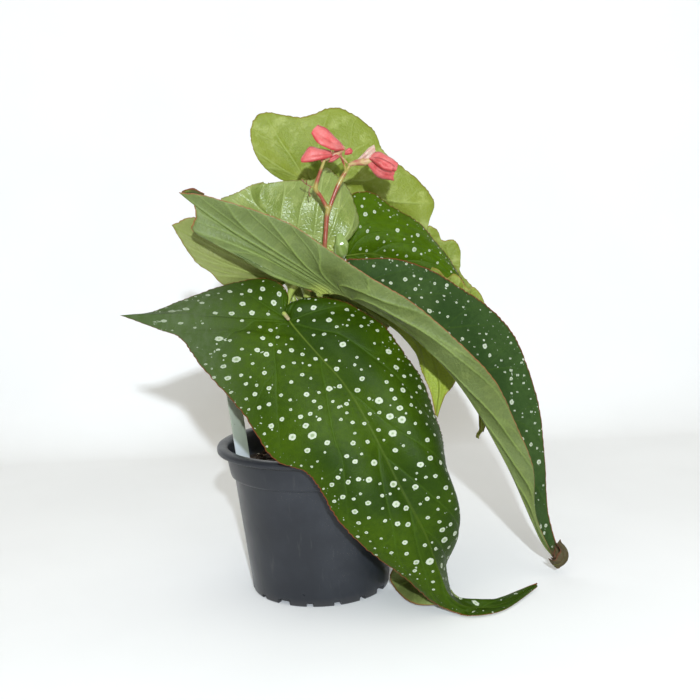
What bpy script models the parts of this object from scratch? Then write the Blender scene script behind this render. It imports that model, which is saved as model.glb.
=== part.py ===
"""A spotted angel-wing begonia in a black nursery pot, in metres with +Z up.

The pot's axis is the Z axis and its feet stand on z = 0. The broad leaves hang to the
front and to the right, so -Y is the side that the plant shows first.
"""
import math

import bmesh
import bpy
from mathutils import Matrix, Vector

MM = 0.001
GAP = 0.3

# Pot: radii and heights in mm
RIM_RADIUS = 60.0
RIM_INNER_RADIUS = 54.6
POT_HEIGHT = 90.6
LIP_HEIGHT = 4.0
COLLAR_RADIUS = 54.5
COLLAR_FOOT_RADIUS = 52.2
COLLAR_FOOT_HEIGHT = 72.0
STEP_IN = 2.0
FOOT_RADIUS = 42.0
FOOT_HEIGHT = 3.0
FOOT_WIDTH = 3.6
BOSS_RADIUS = 14.0
POT_WALL = 1.4
POT_FLOOR = 1.6
POT_SIDES = 44
NOTCHES = 16
NOTCH_TURN = math.radians(-122.5)
WIDE_NOTCH = (7.5, 2.4)
NARROW_NOTCH = (3.4, 1.6)
WIDE_NOTCH_EVERY = 4
DRAIN_HOLES = 8
DRAIN_HOLE_RADIUS = 3.4
DRAIN_CIRCLE = 27.0

# Soil and the label pushed into it, point down
SOIL_EDGE_HEIGHT = 76.0
SOIL_MIDDLE_HEIGHT = 79.5
SOIL_MOUND = [(16.0, 0.8), (34.0, 2.4)]
LABEL_WIDTH = 9.6
LABEL_THICKNESS = 0.9
LABEL_LENGTH = 92.0
LABEL_POINT_LENGTH = 23.5
LABEL_TIP = (-41.8, -1.2, 54.0)
LABEL_UP = (-0.079, -0.2, 0.976)
LABEL_ACROSS = (0.72, 0.69, 0.0)

# Cane: points of its axis and the radius at each; it grows through a hole in the soil
CANE_PATH = [(3, 9, 42), (3, 9, 80), (1, 8, 112), (3, 8, 140), (9, 8, 166), (14, 7, 186), (17, 6, 199)]
CANE_RADII = [4.2, 4.2, 3.9, 3.7, 3.4, 3.0, 2.4]
CANE_HOLE_RADIUS = 4.75
CANE_NODES = (1.35, 2.15, 2.9, 3.6, 4.3, 5.0)
NODE_SWELLING = 0.7
NODE_LENGTH = 0.12
POINTS_PER_STATION = 3

# Leaf blades
BLADE_THICKNESS = 0.7
ROWS_PER_STATION = 2
COLUMNS_PER_HALF = 4

# Each blade in mm: its midrib, the feet of its side veins as shares of the midrib's
# length, and where those veins end on the broad and the narrow edge. Face is the way the
# upper side looks there, crown how far the half bulges that way. The edges are waved.
LEAF_1 = {
    "midrib": [(-15, -38, 172), (-7, -46, 162), (6, -54, 147), (17, -60, 134), (29, -67, 113),
               (45, -72, 78), (58, -73, 51), (65, -70, 30), (72, -66, 12), (84, -63, 4),
               (104, -57, 3), (128, -33, 3.5)],
    "feet": [0, .003, .006, .01, .016, .025, .032, .04, .07, .09, .14, .22,
             .31, .36, .41, .49, .57, .65, .73, .79, .84, .92, 1],
    "lobe_tip": 7,
    "broad_edge": [(-13, -37, 176), (-12, -34, 182), (-16, -30, 188), (-27, -26, 192),
                   (-49, -23, 189), (-73, -21, 181), (-92, -20, 174), (-110, -19, 173),
                   (-87, -27, 165), (-74, -34, 160), (-62, -42, 144), (-40, -55, 120),
                   (-24, -65, 96), (-7, -68.5, 88.5), (1, -71, 79), (10, -73, 62),
                   (25, -71, 44), (45, -68, 26), (61, -63, 9), (75, -65, 1.8), (84, -69, 1.4),
                   (103, -62, 1.4), (128, -34, 2.5)],
    "narrow_edge": [(-12, -37, 175), (-10, -36, 178), (-6, -36, 180), (-1, -36, 181),
                    (9, -36, 180), (20, -36, 177), (26, -36, 174), (31, -37, 171),
                    (38, -38, 166), (43, -39, 161), (53, -43, 146), (62, -47, 132),
                    (68, -50, 113), (71, -50, 102), (72, -48, 90), (72, -40, 66), (64, -29, 39),
                    (52, -20, 13), (46, -23, 1.4), (58, -50, 1.8), (80, -57, 8),
                    (97, -56, 5), (128.5, -32, 4)],
    "broad_face": [(0, -.4, .9), (0, -.6, .8), (-.3, -.8, .5), (0, -.9, .4), (0, -.3, .9)],
    "narrow_face": [(0, -.5, .8), (.2, -.8, .5), (.9, -.4, .2), (1, -.2, .1), (0, 0, 1)],
    "broad_crown": [1, 3, 4, 4, 6, 6, 5, 3, 0, 0],
    "narrow_crown": [1, 3, 4, 4, 6, 9, 13, 18, 17, 3, 0],
    "wave": 0.6,
    "wave_turns": 5,
}

LEAF_2 = {
    "midrib": [(5, -30, 183), (18, -33, 182), (33, -36, 174), (49, -38, 164), (65, -38, 150),
               (80, -36, 133), (94, -33, 112), (105, -28, 92), (117, -22, 68), (130, -16, 37),
               (138, -12, 20), (147, -9, 9)],
    "feet": [0, .003, .006, .01, .014, .018, .022, .03, .045, .07,
             .11, .17, .25, .35, .46, .57, .68, .79, .9, 1],
    "lobe_tip": 7,
    "broad_edge": [(1, -31, 184), (-16, -37, 193), (-27, -41, 198), (-49, -47, 213),
                   (-62, -50, 221), (-60, -51, 228), (-61, -51, 235), (-68, -52, 241),
                   (-53, -55, 239), (-28, -56, 231), (-8, -56, 222), (12, -56, 207),
                   (33, -55, 192), (58, -52, 176), (82, -48, 154), (103, -42, 130),
                   (116, -34, 103), (128, -26, 74), (132, -17, 41), (146.5, -9.5, 7)],
    "narrow_edge": [(5, -29, 185), (8, -27, 187), (11.5, -25, 189), (15, -22, 191.5),
                    (18, -18, 194), (21, -13, 197), (24, -8, 199.5), (29, -2, 200),
                    (38, 0, 200), (50, 2, 199), (61, 4, 196), (76, 5, 190),
                    (92, 5, 180), (106, 5, 170), (120, 4, 155), (129, 2, 137),
                    (138, -1, 106), (141, -4, 75), (142, -7, 39), (149, -8.5, 9)],
    "broad_face": [(0, .8, .5), (.3, .8, .5), (.4, .7, .6)],
    "narrow_face": [(0, -.6, .8), (.3, -.7, .6), (.6, -.7, .4)],
    "broad_crown": [-1, -4, -4, -3, 0],
    "narrow_crown": [-1, -6, -8, -6, 0],
    "wave": 0.6,
    "wave_turns": 4,
}

LEAF_3 = {
    "midrib": [(-13, -6, 189), (5, -2, 184), (26, 3, 176), (46, 7, 166), (64, 9, 153),
               (74, 8, 138), (78, 6, 120), (75, 4, 101)],
    "feet": [0, .005, .01, .015, .02, .025, .03, .04, .06, .1, .18, .3, .45, .6, .75, .9, 1],
    "lobe_tip": 7,
    "broad_edge": [(-15, -8, 189), (-28, -12, 183), (-40, -16, 184), (-50, -20, 189),
                   (-56, -23, 196), (-63, -25, 201), (-69, -27, 210), (-76, -28, 224),
                   (-63, -28, 228), (-44, -26, 219), (-21, -21, 205), (7, -13, 188),
                   (36, -6, 172), (66, -2, 153), (87, 2, 127), (80.5, 3.7, 112.5), (76, 4, 100)],
    "narrow_edge": [(-12, -5, 187), (-10, -5, 184), (-8, -5, 179), (-5, -4, 174), (-1, -3, 168),
                    (5, -2, 163), (12, 0, 157), (21, 3, 153), (32, 7, 151), (44, 10, 154),
                    (52, 12, 159), (57, 12, 152), (61, 12, 145), (65, 11, 137), (67.5, 10, 128),
                    (72, 7, 116), (74.5, 4.2, 101)],
    "broad_face": [(0, .8, .5), (.3, .8, .5)],
    "narrow_face": [(0, .8, .5), (.4, .8, .4)],
    "broad_crown": [-1, -3, -3, 0],
    "narrow_crown": [-1, -2, -2, 0],
    "wave": 0.6,
    "wave_turns": 4,
}

LEAF_4 = {
    "midrib": [(16, 2, 205), (2, 2, 213), (-13, 3, 221), (-24, 6, 229), (-27, 9, 238), (-23, 10, 246)],
    "feet": [0, .01, .02, .04, .08, .13, .19, .26, .34, .42, .52, .66, .82, 1],
    "lobe_tip": None,
    "broad_edge": [(18.5, 4, 213.5), (23.5, 6, 216), (29, 8, 216), (31.5, 10, 221.5),
                   (29, 12, 232), (27, 13, 239.5), (23, 13, 246), (17.5, 12, 251),
                   (13.5, 11, 254), (9, 10, 251), (5, 10, 247.5), (-4, 11, 247.5),
                   (-14.5, 11, 247), (-22, 10, 246.5)],
    "narrow_edge": [(12, 3, 204), (7, 2, 205), (1, 1, 206), (-6, 0, 208), (-13, -1, 211),
                    (-20, -2, 214), (-27, -3, 218), (-34, -4, 222), (-42, -4, 229),
                    (-50, -3, 237), (-46, 0, 239), (-39, 3, 242), (-32, 6, 245.5), (-25, 10, 247)],
    "broad_face": [(0, .9, .3), (.2, .9, .3)],
    "narrow_face": [(0, .9, .3), (-.2, .9, .3)],
    "broad_crown": [-2, -6, -7, -5, 0],
    "narrow_crown": [-1, -3, -4, -3, 0],
    "wave": 0.7,
    "wave_turns": 3,
}

LEAF_5 = {
    "midrib": [(-1, 38, 250), (25, 44, 240), (57, 50, 218), (86, 52, 187), (103, 48, 151),
               (110, 42, 112), (108, 38, 82)],
    "feet": [0, .01, .02, .03, .045, .06, .09, .13, .18, .24, .31, .38, .45, .53, .61, .7, .8, .9, 1],
    "lobe_tip": None,
    "broad_edge": [(-5, 36, 247), (-15, 32, 249), (-25, 30, 257), (-31, 30, 268), (-32, 32, 281),
                   (-24, 34, 290), (0, 36, 287), (22, 38, 292), (43, 40, 279), (51, 42, 264),
                   (72, 44, 246), (82, 45.5, 231), (77, 46, 219), (95, 46, 205),
                   (99, 46, 184), (113, 45.5, 167), (121, 42, 138), (118, 40, 106),
                   (110, 38, 82)],
    "narrow_edge": [(-3, 40, 245), (-1, 42, 242), (2, 44, 238), (5, 46, 234), (9, 47, 230),
                    (14, 48, 227), (20, 50, 225), (26, 52, 222), (33, 54, 220), (40, 56, 215),
                    (48, 57, 210), (56, 57, 203), (65, 57, 194), (74, 56, 183), (82, 54, 168),
                    (93, 51, 145), (103, 47, 122), (107, 42, 99), (107.5, 38, 83)],
    "broad_face": [(0, .9, .3), (.3, .9, .3)],
    "narrow_face": [(0, .9, .3), (.3, .9, .3)],
    "broad_crown": [-2, -5, -5, -3, 0],
    "narrow_crown": [-1, -2, -3, -2, 0],
    "wave": 1.0,
    "wave_turns": 7,
}

LEAF_6 = {
    "midrib": [(21, 14, 201), (41, 20, 201), (67, 25, 191), (91, 26, 170), (112, 22, 139)],
    "feet": [0, .01, .03, .06, .1, .16, .24, .34, .46, .6, .8, 1],
    "lobe_tip": None,
    "broad_edge": [(22, 15, 205), (23, 18, 214), (26, 22, 227), (28, 26, 238), (41, 30, 239),
                   (53, 32, 231), (70, 34, 220), (81, 35, 207), (90, 34, 196), (97, 32, 182),
                   (107, 28, 162), (113, 22, 141)],
    "narrow_edge": [(23, 15, 198), (27, 16, 196), (30, 17, 194), (35, 18, 191), (42, 20, 188),
                    (49, 21, 183), (58, 22, 177), (68, 23, 170), (79, 24, 162), (91, 24, 153),
                    (102, 23, 145), (111, 22, 138)],
    "broad_face": [(0, -.8, .5), (.3, -.8, .5)],
    "narrow_face": [(0, -.6, .8), (.3, -.6, .7)],
    "broad_crown": [1, 5, 6, 4, 0],
    "narrow_crown": [1, 2, 3, 2, 0],
    "wave": 0.7,
    "wave_turns": 4,
}

DARK_GREEN = (0.05, 0.13, 0.02)
MID_GREEN = (0.09, 0.2, 0.03)
PALE_GREEN = (0.32, 0.42, 0.1)
LEAVES = {"leaf_1": (LEAF_1, DARK_GREEN), "leaf_2": (LEAF_2, DARK_GREEN), "leaf_3": (LEAF_3, PALE_GREEN),
          "leaf_4": (LEAF_4, PALE_GREEN), "leaf_5": (LEAF_5, PALE_GREEN), "leaf_6": (LEAF_6, MID_GREEN)}

# Petioles: from inside the cane to just under each blade
PETIOLES = {
    "leaf_1": [(3, 8, 124), (1, -6, 142), (0, -14, 162), (-1.5, -15, 180), (-5, -17.5, 188),
               (-9.9, -24, 184.5), (-12.4, -30.5, 179), (-14.6, -36.8, 171.2)],
    "leaf_2": [(5, 8, 150), (8, -3, 153), (8, -16, 165), (5.7, -28.6, 181.4)],
    "leaf_3": [(3, 8, 136), (3, -1, 143), (-3, -8, 158), (-9.5, -10.5, 177), (-12.4, -8.6, 187)],
    "leaf_4": [(15.5, 6.3, 194), (16.7, 2.2, 204.1)],
    "leaf_5": [(12, 8, 176), (8, 12, 202), (3.5, 20, 216), (0.5, 28, 232), (-1.2, 35.2, 247.2)],
    "leaf_6": [(15.2, 6.6, 189), (18.5, 12.5, 195), (21, 15, 199.6)],
}
PETIOLE_RADII = [2.2, 2.3, 2.1, 1.2]

# Flower stalk with its two branches and a twig of dried buds
STALK = [(15.2, 2.75, 193.4), (12, -6, 197), (9.3, -12, 202), (10, -14, 208.5), (11, -14, 217.5),
         (12, -14, 226), (13, -14, 230)]
STALK_RADII = [1.6, 1.4, 1.3, 1.3, 1.3, 1.4, 1.7]
BRANCHES = {
    "left_branch": [(13, -14, 228.5), (9, -15, 236.5), (6, -16, 241.5), (8, -17, 248.5), (11.5, -18, 257.0)],
    "right_branch": [(13, -14, 228.5), (16.5, -13, 237.5), (20.5, -12, 245.5), (26.4, -11, 254.4)],
    "bract_stalk": [(20.5, -12, 245.5), (23, -12.5, 252), (22.5, -14, 258.5)],
    "bud_twig": [(6, -16, 241.5), (1.5, -16, 243.5), (-1, -16, 247)],
    "bud_stub": [(2, -16, 243.3), (0.5, -16, 239.5)],
}
BRANCH_RADII = {
    "left_branch": [1.3, 1.1, 1.5, 1.0, 0.9],
    "right_branch": [1.3, 1.1, 1.5, 1.0],
    "bract_stalk": [1.1, 0.8, 0.7],
    "bud_twig": [0.9, 0.8, 1.1],
    "bud_stub": [0.7, 1.0],
}

# Young leaf still folded up at the tip of the cane
FOLDED_LEAF = [(18.6, 2.6, 198), (19.5, -1.5, 200.5), (20, -5, 204), (20.8, -6.5, 208.5), (22, -7, 213)]
FOLDED_LEAF_RADII = [0.9, 1.6, 3.4, 4.0, 1.2]

# Blooms: petals spread from a short core
FRONT = (0, -1, 0)
PETAL_CROWN = [0.4, 0.8, 0.2]
PETAL_COLUMNS = 2
LEFT_BLOOM = {
    "upper": {
        "midrib": [(20, -17, 262.5), (15.5, -22, 266.5), (10.5, -24, 271.5), (7, -23, 275)],
        "broad_edge": [(21, -16, 263.5), (19, -19, 268), (14, -20, 273), (9.5, -21, 277)],
        "narrow_edge": [(19, -17, 261.5), (16.5, -24, 262.5), (8.5, -27, 265), (5, -25, 272)],
    },
    "lower": {
        "midrib": [(14.5, -18, 259), (8, -21, 259.5), (3, -22, 259.5), (-2, -20, 257)],
        "broad_edge": [(14.5, -17, 260), (9, -18, 263.5), (2, -19, 264.5), (-2, -19, 258.5)],
        "narrow_edge": [(14.5, -19, 258), (9, -22, 256.5), (3.5, -22, 256), (-1, -21, 256.5)],
    },
}
LEFT_CORE = [(12, -17.8, 258.6), (17.5, -17.2, 260.6), (22.5, -16.6, 264)]
LEFT_CORE_RADII = [1.3, 2.2, 1.6]
RIGHT_BLOOM = {
    "upper": {
        "midrib": [(35.5, -14, 257), (42.5, -18, 257), (48, -19, 254.5), (53.5, -17, 254)],
        "broad_edge": [(36, -13, 258.2), (42, -15, 260.5), (47, -15, 256.5), (53, -16, 254.8)],
        "narrow_edge": [(35, -15, 256), (41, -20, 253.5), (46.5, -20, 251), (52, -18, 251)],
    },
    "lower": {
        "midrib": [(35.5, -12.5, 255), (41, -15, 251.5), (46, -14, 248), (51, -13, 245)],
        "broad_edge": [(36, -13, 256), (42, -16, 253), (48, -15, 250), (51.5, -14, 248)],
        "narrow_edge": [(35, -11.5, 254.3), (38.5, -12, 251), (43, -11, 247), (50, -12, 245)],
    },
    "wing": {
        "midrib": [(30, -11.5, 256), (34, -12, 258.5), (38, -12.5, 260.5), (41, -13, 262.5)],
        "broad_edge": [(29.5, -11.5, 257), (33, -12, 260.5), (37, -12, 264), (40.5, -12.5, 266)],
        "narrow_edge": [(31, -11.5, 255), (35, -12, 256.5), (38.5, -12.5, 257), (41, -13, 259)],
    },
}
RIGHT_CORE = [(27.6, -11.2, 255.2), (33, -12, 256.4), (38, -13, 255.6)]
RIGHT_CORE_RADII = [1.4, 2.4, 1.8]


def clear_scene():
    for old in list(bpy.data.objects):
        bpy.data.objects.remove(old, do_unlink=True)


def collection(name):
    made = bpy.data.collections.new(name)
    bpy.context.scene.collection.children.link(made)
    return made


def material(name, colour, roughness, metallic=0.0):
    made = bpy.data.materials.new(name)
    made.use_nodes = True
    shader = made.node_tree.nodes["Principled BSDF"]
    shader.inputs["Base Color"].default_value = (*colour, 1.0)
    shader.inputs["Roughness"].default_value = roughness
    shader.inputs["Metallic"].default_value = metallic
    return made


def add_mesh(name, bm, home, look=None):
    """A new object that holds the bmesh, whose lengths are mm."""
    bmesh.ops.scale(bm, vec=(MM, MM, MM), verts=bm.verts)
    mesh = bpy.data.meshes.new(name)
    bm.to_mesh(mesh)
    bm.free()
    obj = bpy.data.objects.new(name, mesh)
    home.objects.link(obj)
    if look:
        mesh.materials.append(look)
    mesh.shade_smooth()
    return obj


def spline(values, q):
    """A smooth curve through the values, read at index q, which need not be whole."""
    last = len(values) - 1
    i = min(int(q), last - 1)
    f = q - i
    b, c = values[i], values[i + 1]
    a = values[i - 1] if i > 0 else b * 2 - c
    d = values[i + 2] if i + 2 <= last else c * 2 - b
    return b + (c - a) * (f / 2) + (a * 2 - b * 5 + c * 4 - d) * (f * f / 2) + (
        b * 3 - a - c * 3 + d) * (f * f * f / 2)


def cornered(values, q, corner):
    """spline(), but with a sharp point at the value numbered corner, if there is one."""
    if corner is None:
        return spline(values, q)
    if q <= corner:
        return spline(values[:corner + 1], q)
    return spline(values[corner:], q - corner)


def along(points, u):
    """The smooth curve through the points at the share u of its length."""
    reach = [0.0]
    for a, b in zip(points, points[1:]):
        reach.append(reach[-1] + (b - a).length)
    goal = u * reach[-1]
    i = 0
    while i < len(points) - 2 and reach[i + 1] < goal:
        i += 1
    return spline(points, i + (goal - reach[i]) / (reach[i + 1] - reach[i]))


def vectors(points):
    return [Vector(p) for p in points]


def blade_surface(leaf):
    """The middle surface of a blade: a function of the station q and of t, -1 at the
    broad side's edge, 0 on the midrib and 1 at the narrow side's edge."""
    midrib = vectors(leaf["midrib"])
    edges = {-1: vectors(leaf["broad_edge"]), 1: vectors(leaf["narrow_edge"])}
    faces = {-1: vectors(leaf["broad_face"]), 1: vectors(leaf["narrow_face"])}
    crowns = {-1: leaf["broad_crown"], 1: leaf["narrow_crown"]}
    feet = leaf["feet"]
    corner = leaf["lobe_tip"]
    last = len(feet) - 1

    def point(q, t):
        side = -1 if t < 0 else 1
        t = abs(t)
        foot = along(midrib, min(max(cornered(feet, q, corner), 0), 1))
        edge = cornered(edges[side], q, corner if side < 0 else None)
        reach = edge - foot
        face = spline(faces[side], q / last * (len(faces[side]) - 1))
        face = (face - reach * (face.dot(reach) / reach.length_squared)).normalized()
        crown = spline(crowns[side], q / last * (len(crowns[side]) - 1))
        wave = leaf["wave"] * t ** 3 * math.sin(leaf["wave_turns"] * math.tau * q / last + side)
        return foot + reach * t + face * (crown * math.sin(math.pi * t) + wave)

    return point


def make_blade(name, leaf, home, look, columns=COLUMNS_PER_HALF):
    point = blade_surface(leaf)
    last = len(leaf["feet"]) - 1
    bm = bmesh.new()
    bmesh.ops.create_grid(bm, x_segments=last * ROWS_PER_STATION, y_segments=2 * columns, size=1)
    for vert in bm.verts:
        vert.co = point((vert.co.x + 1) / 2 * last, vert.co.y)
    bmesh.ops.triangulate(bm, faces=bm.faces)
    blade = add_mesh(name, bm, home, look)
    wall = blade.modifiers.new("thickness", "SOLIDIFY")
    wall.thickness = BLADE_THICKNESS * MM
    wall.offset = 0
    return blade


def tube(name, path, radii, home, look, swell=None):
    """A round rod along the path, made a mesh with welded caps; radii are read along it."""
    points = vectors(path)
    steps = (len(points) - 1) * POINTS_PER_STATION
    curve = bpy.data.curves.new(name + "_line", "CURVE")
    curve.dimensions = "3D"
    curve.bevel_depth = MM
    curve.bevel_resolution = 2
    curve.use_fill_caps = True
    run = curve.splines.new("POLY")
    run.points.add(steps)
    for i, point in enumerate(run.points):
        q = i / POINTS_PER_STATION
        point.co = (*(spline(points, q) * MM), 1)
        point.radius = spline(radii, q) + (swell(q) if swell else 0)
    line = bpy.data.objects.new(name + "_line", curve)
    home.objects.link(line)
    bpy.context.view_layer.update()
    graph = bpy.context.evaluated_depsgraph_get()
    mesh = bpy.data.meshes.new_from_object(line.evaluated_get(graph))
    bpy.data.objects.remove(line, do_unlink=True)
    bm = bmesh.new()
    bm.from_mesh(mesh)
    bmesh.ops.remove_doubles(bm, verts=bm.verts, dist=0.001 * MM)
    bm.to_mesh(mesh)
    bm.free()
    mesh.name = name
    mesh.materials.clear()
    mesh.materials.append(look)
    mesh.shade_smooth()
    rod = bpy.data.objects.new(name, mesh)
    home.objects.link(rod)
    return rod


def combine(base, tool, operation):
    step = base.modifiers.new(tool.name, "BOOLEAN")
    step.operation = operation
    step.solver = "EXACT"
    step.object = tool
    tool.hide_render = True
    tool.display_type = "WIRE"


def lathe(name, profile, home, look):
    """A solid turned about Z from (radius, height) points, down the outer side first."""
    bm = bmesh.new()
    verts = [bm.verts.new((r, 0, z)) for r, z in profile]
    for a, b in zip(verts, verts[1:]):
        bm.edges.new((a, b))
    turned = add_mesh(name, bm, home, look)
    screw = turned.modifiers.new("turn", "SCREW")
    screw.axis = "Z"
    screw.steps = POT_SIDES
    screw.render_steps = POT_SIDES
    screw.use_merge_vertices = True
    screw.merge_threshold = 0.001 * MM
    screw.use_smooth_shade = True
    return turned


def pot_profile():
    """The pot's section: over the rim, down the outside, across the base and up the inside."""
    inside_floor = FOOT_HEIGHT + POT_FLOOR
    lip_foot = POT_HEIGHT - LIP_HEIGHT
    under_step = COLLAR_FOOT_RADIUS - STEP_IN
    return [
        (RIM_INNER_RADIUS, POT_HEIGHT - 0.1),
        (RIM_RADIUS - 2.5, POT_HEIGHT),
        (RIM_RADIUS - 0.8, POT_HEIGHT - 0.6),
        (RIM_RADIUS, POT_HEIGHT - 2.0),
        (RIM_RADIUS - 0.1, lip_foot + 0.4),
        (RIM_RADIUS - 0.8, lip_foot),
        (COLLAR_RADIUS + 0.4, lip_foot + 0.2),
        (COLLAR_RADIUS, lip_foot - 1.0),
        (COLLAR_FOOT_RADIUS, COLLAR_FOOT_HEIGHT + 0.4),
        (COLLAR_FOOT_RADIUS - 0.4, COLLAR_FOOT_HEIGHT),
        (under_step, COLLAR_FOOT_HEIGHT - 0.7),
        (FOOT_RADIUS, 0.8),
        (FOOT_RADIUS - 0.6, 0),
        (FOOT_RADIUS - FOOT_WIDTH, 0),
        (FOOT_RADIUS - FOOT_WIDTH - 0.2, FOOT_HEIGHT),
        (BOSS_RADIUS + 0.4, FOOT_HEIGHT),
        (BOSS_RADIUS, 0),
        (0, 0),
        (0, inside_floor),
        (FOOT_RADIUS - 2 * POT_WALL, inside_floor),
        (FOOT_RADIUS - POT_WALL - 0.4, inside_floor + 1.0),
        (under_step - POT_WALL, COLLAR_FOOT_HEIGHT - 0.6),
        (COLLAR_FOOT_RADIUS - POT_WALL, COLLAR_FOOT_HEIGHT + 1.0),
        (COLLAR_RADIUS - POT_WALL, lip_foot),
        (RIM_INNER_RADIUS - 1.0, POT_HEIGHT - 1.2),
        (RIM_INNER_RADIUS, POT_HEIGHT - 0.1),
    ]


def soil_profile():
    floor = FOOT_HEIGHT + POT_FLOOR + GAP
    under_step = COLLAR_FOOT_RADIUS - STEP_IN - POT_WALL - GAP
    collar = COLLAR_FOOT_RADIUS - POT_WALL - GAP
    return [
        (0, SOIL_MIDDLE_HEIGHT),
        *[(radius, SOIL_MIDDLE_HEIGHT - drop) for radius, drop in SOIL_MOUND],
        (collar - 2, SOIL_EDGE_HEIGHT + 0.4),
        (collar, SOIL_EDGE_HEIGHT),
        (collar - 0.2, COLLAR_FOOT_HEIGHT + 1.5),
        (under_step, COLLAR_FOOT_HEIGHT - 0.6),
        (FOOT_RADIUS - POT_WALL - 0.4 - GAP, floor + 1.0),
        (FOOT_RADIUS - 2 * POT_WALL - GAP, floor),
        (0, floor),
    ]


def foot_cutters(home):
    """Notches in the foot ring and drain holes in the floor, as one cutter."""
    bm = bmesh.new()
    for i in range(NOTCHES):
        width, height = NARROW_NOTCH if i % WIDE_NOTCH_EVERY else WIDE_NOTCH
        turn = NOTCH_TURN - math.tau * i / NOTCHES
        place = Matrix.Rotation(turn, 4, "Z") @ Matrix.Translation((FOOT_RADIUS - FOOT_WIDTH / 2, 0, 0))
        size = Matrix.Diagonal((FOOT_WIDTH * 3, width, height * 2, 1))
        bmesh.ops.create_cube(bm, size=1, matrix=place @ size)
    for i in range(DRAIN_HOLES):
        turn = math.tau * (i + 0.5) / DRAIN_HOLES
        place = Matrix.Translation((DRAIN_CIRCLE * math.cos(turn), DRAIN_CIRCLE * math.sin(turn),
                                    FOOT_HEIGHT + POT_FLOOR / 2))
        bmesh.ops.create_cone(bm, cap_ends=True, segments=12, radius1=DRAIN_HOLE_RADIUS,
                              radius2=DRAIN_HOLE_RADIUS, depth=POT_FLOOR * 3, matrix=place)
    return add_mesh("foot_cutters", bm, home)


def label(name, grow, home, look=None):
    """The pointed label, or with grow the slot that it stands in, that much larger all round."""
    half = LABEL_WIDTH / 2 + grow
    bottom = -grow * math.hypot(LABEL_POINT_LENGTH, LABEL_WIDTH / 2) / (LABEL_WIDTH / 2)
    outline = [(0, bottom), (half, LABEL_POINT_LENGTH + bottom), (half, LABEL_LENGTH), (-half, LABEL_LENGTH),
               (-half, LABEL_POINT_LENGTH + bottom)]
    thickness = LABEL_THICKNESS + 2 * grow
    up = Vector(LABEL_UP).normalized()
    across = Vector(LABEL_ACROSS)
    across = (across - up * across.dot(up)).normalized()
    front = across.cross(up)
    bm = bmesh.new()
    face = bm.faces.new([bm.verts.new((x, -thickness / 2, z)) for x, z in outline])
    deep = bmesh.ops.extrude_face_region(bm, geom=[face])
    moved = [item for item in deep["geom"] if isinstance(item, bmesh.types.BMVert)]
    bmesh.ops.translate(bm, vec=(0, thickness, 0), verts=moved)
    bmesh.ops.recalc_face_normals(bm, faces=bm.faces)
    for vert in bm.verts:
        vert.co = Vector(LABEL_TIP) + across * vert.co.x - front * vert.co.y + up * vert.co.z
    plate = add_mesh(name, bm, home, look)
    plate.data.shade_flat()
    return plate


def cane_hole(home):
    bm = bmesh.new()
    x, y, foot = CANE_PATH[0]
    low, high = foot - GAP, SOIL_MIDDLE_HEIGHT + 10
    place = Matrix.Translation((x, y, (low + high) / 2))
    bmesh.ops.create_cone(bm, cap_ends=True, segments=16, radius1=CANE_HOLE_RADIUS,
                          radius2=CANE_HOLE_RADIUS, depth=high - low, matrix=place)
    return add_mesh("cane_hole", bm, home)


def node_swelling(q):
    return sum(NODE_SWELLING * math.exp(-((q - node) / NODE_LENGTH) ** 2) for node in CANE_NODES)


def petal(name, shape, home, look):
    """A small blade with plain spacing, slightly crowned towards the front."""
    blade = dict(shape, feet=[0, 1 / 3, 2 / 3, 1], lobe_tip=None, wave=0, wave_turns=1,
                 broad_face=[FRONT, FRONT], narrow_face=[FRONT, FRONT], broad_crown=PETAL_CROWN,
                 narrow_crown=PETAL_CROWN)
    return make_blade(name, blade, home, look, columns=PETAL_COLUMNS)


def make_cane(home, helpers, look):
    cane = tube("cane", CANE_PATH, CANE_RADII, home, look, node_swelling)
    for name, path in PETIOLES.items():
        ends = len(path) - 1
        radii = [spline(PETIOLE_RADII, i / ends * (len(PETIOLE_RADII) - 1)) for i in range(len(path))]
        combine(cane, tube("petiole_of_" + name, path, radii, helpers, look), "UNION")
    return cane


def make_flower_stalk(home, helpers, look):
    stalk = tube("flower_stalk", STALK, STALK_RADII, home, look)
    for name, path in BRANCHES.items():
        combine(stalk, tube(name, path, BRANCH_RADII[name], helpers, look), "UNION")
    return stalk


def make_bloom(name, core, radii, petals, home, helpers, look):
    bloom = tube(name, core, radii, home, look)
    for part, shape in petals.items():
        combine(bloom, petal(name + "_" + part, shape, helpers, look), "UNION")
    return bloom


def main():
    clear_scene()
    home = collection("potted_begonia")
    helpers = collection("cutters")
    helpers.hide_render = True

    pot = lathe("pot", pot_profile(), home, material("pot_plastic", (0.045, 0.05, 0.055), 0.45))
    combine(pot, foot_cutters(helpers), "DIFFERENCE")
    soil = lathe("soil", soil_profile(), home, material("soil", (0.03, 0.02, 0.015), 0.95))
    combine(soil, cane_hole(helpers), "DIFFERENCE")
    combine(soil, label("label_slot", GAP, helpers), "DIFFERENCE")
    label("plant_label", 0, home, material("label_plastic", (0.8, 0.84, 0.9), 0.4))

    make_cane(home, helpers, material("cane", (0.2, 0.19, 0.06), 0.45))
    for name, (leaf, colour) in LEAVES.items():
        make_blade(name, leaf, home, material(name, colour, 0.35))
    tube("folded_leaf", FOLDED_LEAF, FOLDED_LEAF_RADII, home, material("folded_leaf", PALE_GREEN, 0.35))

    make_flower_stalk(home, helpers, material("flower_stalk", (0.4, 0.1, 0.07), 0.4))
    pink = material("petals", (0.85, 0.2, 0.2), 0.45)
    make_bloom("flower_left", LEFT_CORE, LEFT_CORE_RADII, LEFT_BLOOM, home, helpers, pink)
    make_bloom("flower_right", RIGHT_CORE, RIGHT_CORE_RADII, RIGHT_BLOOM, home, helpers, pink)


main()
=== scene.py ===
import math

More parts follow.
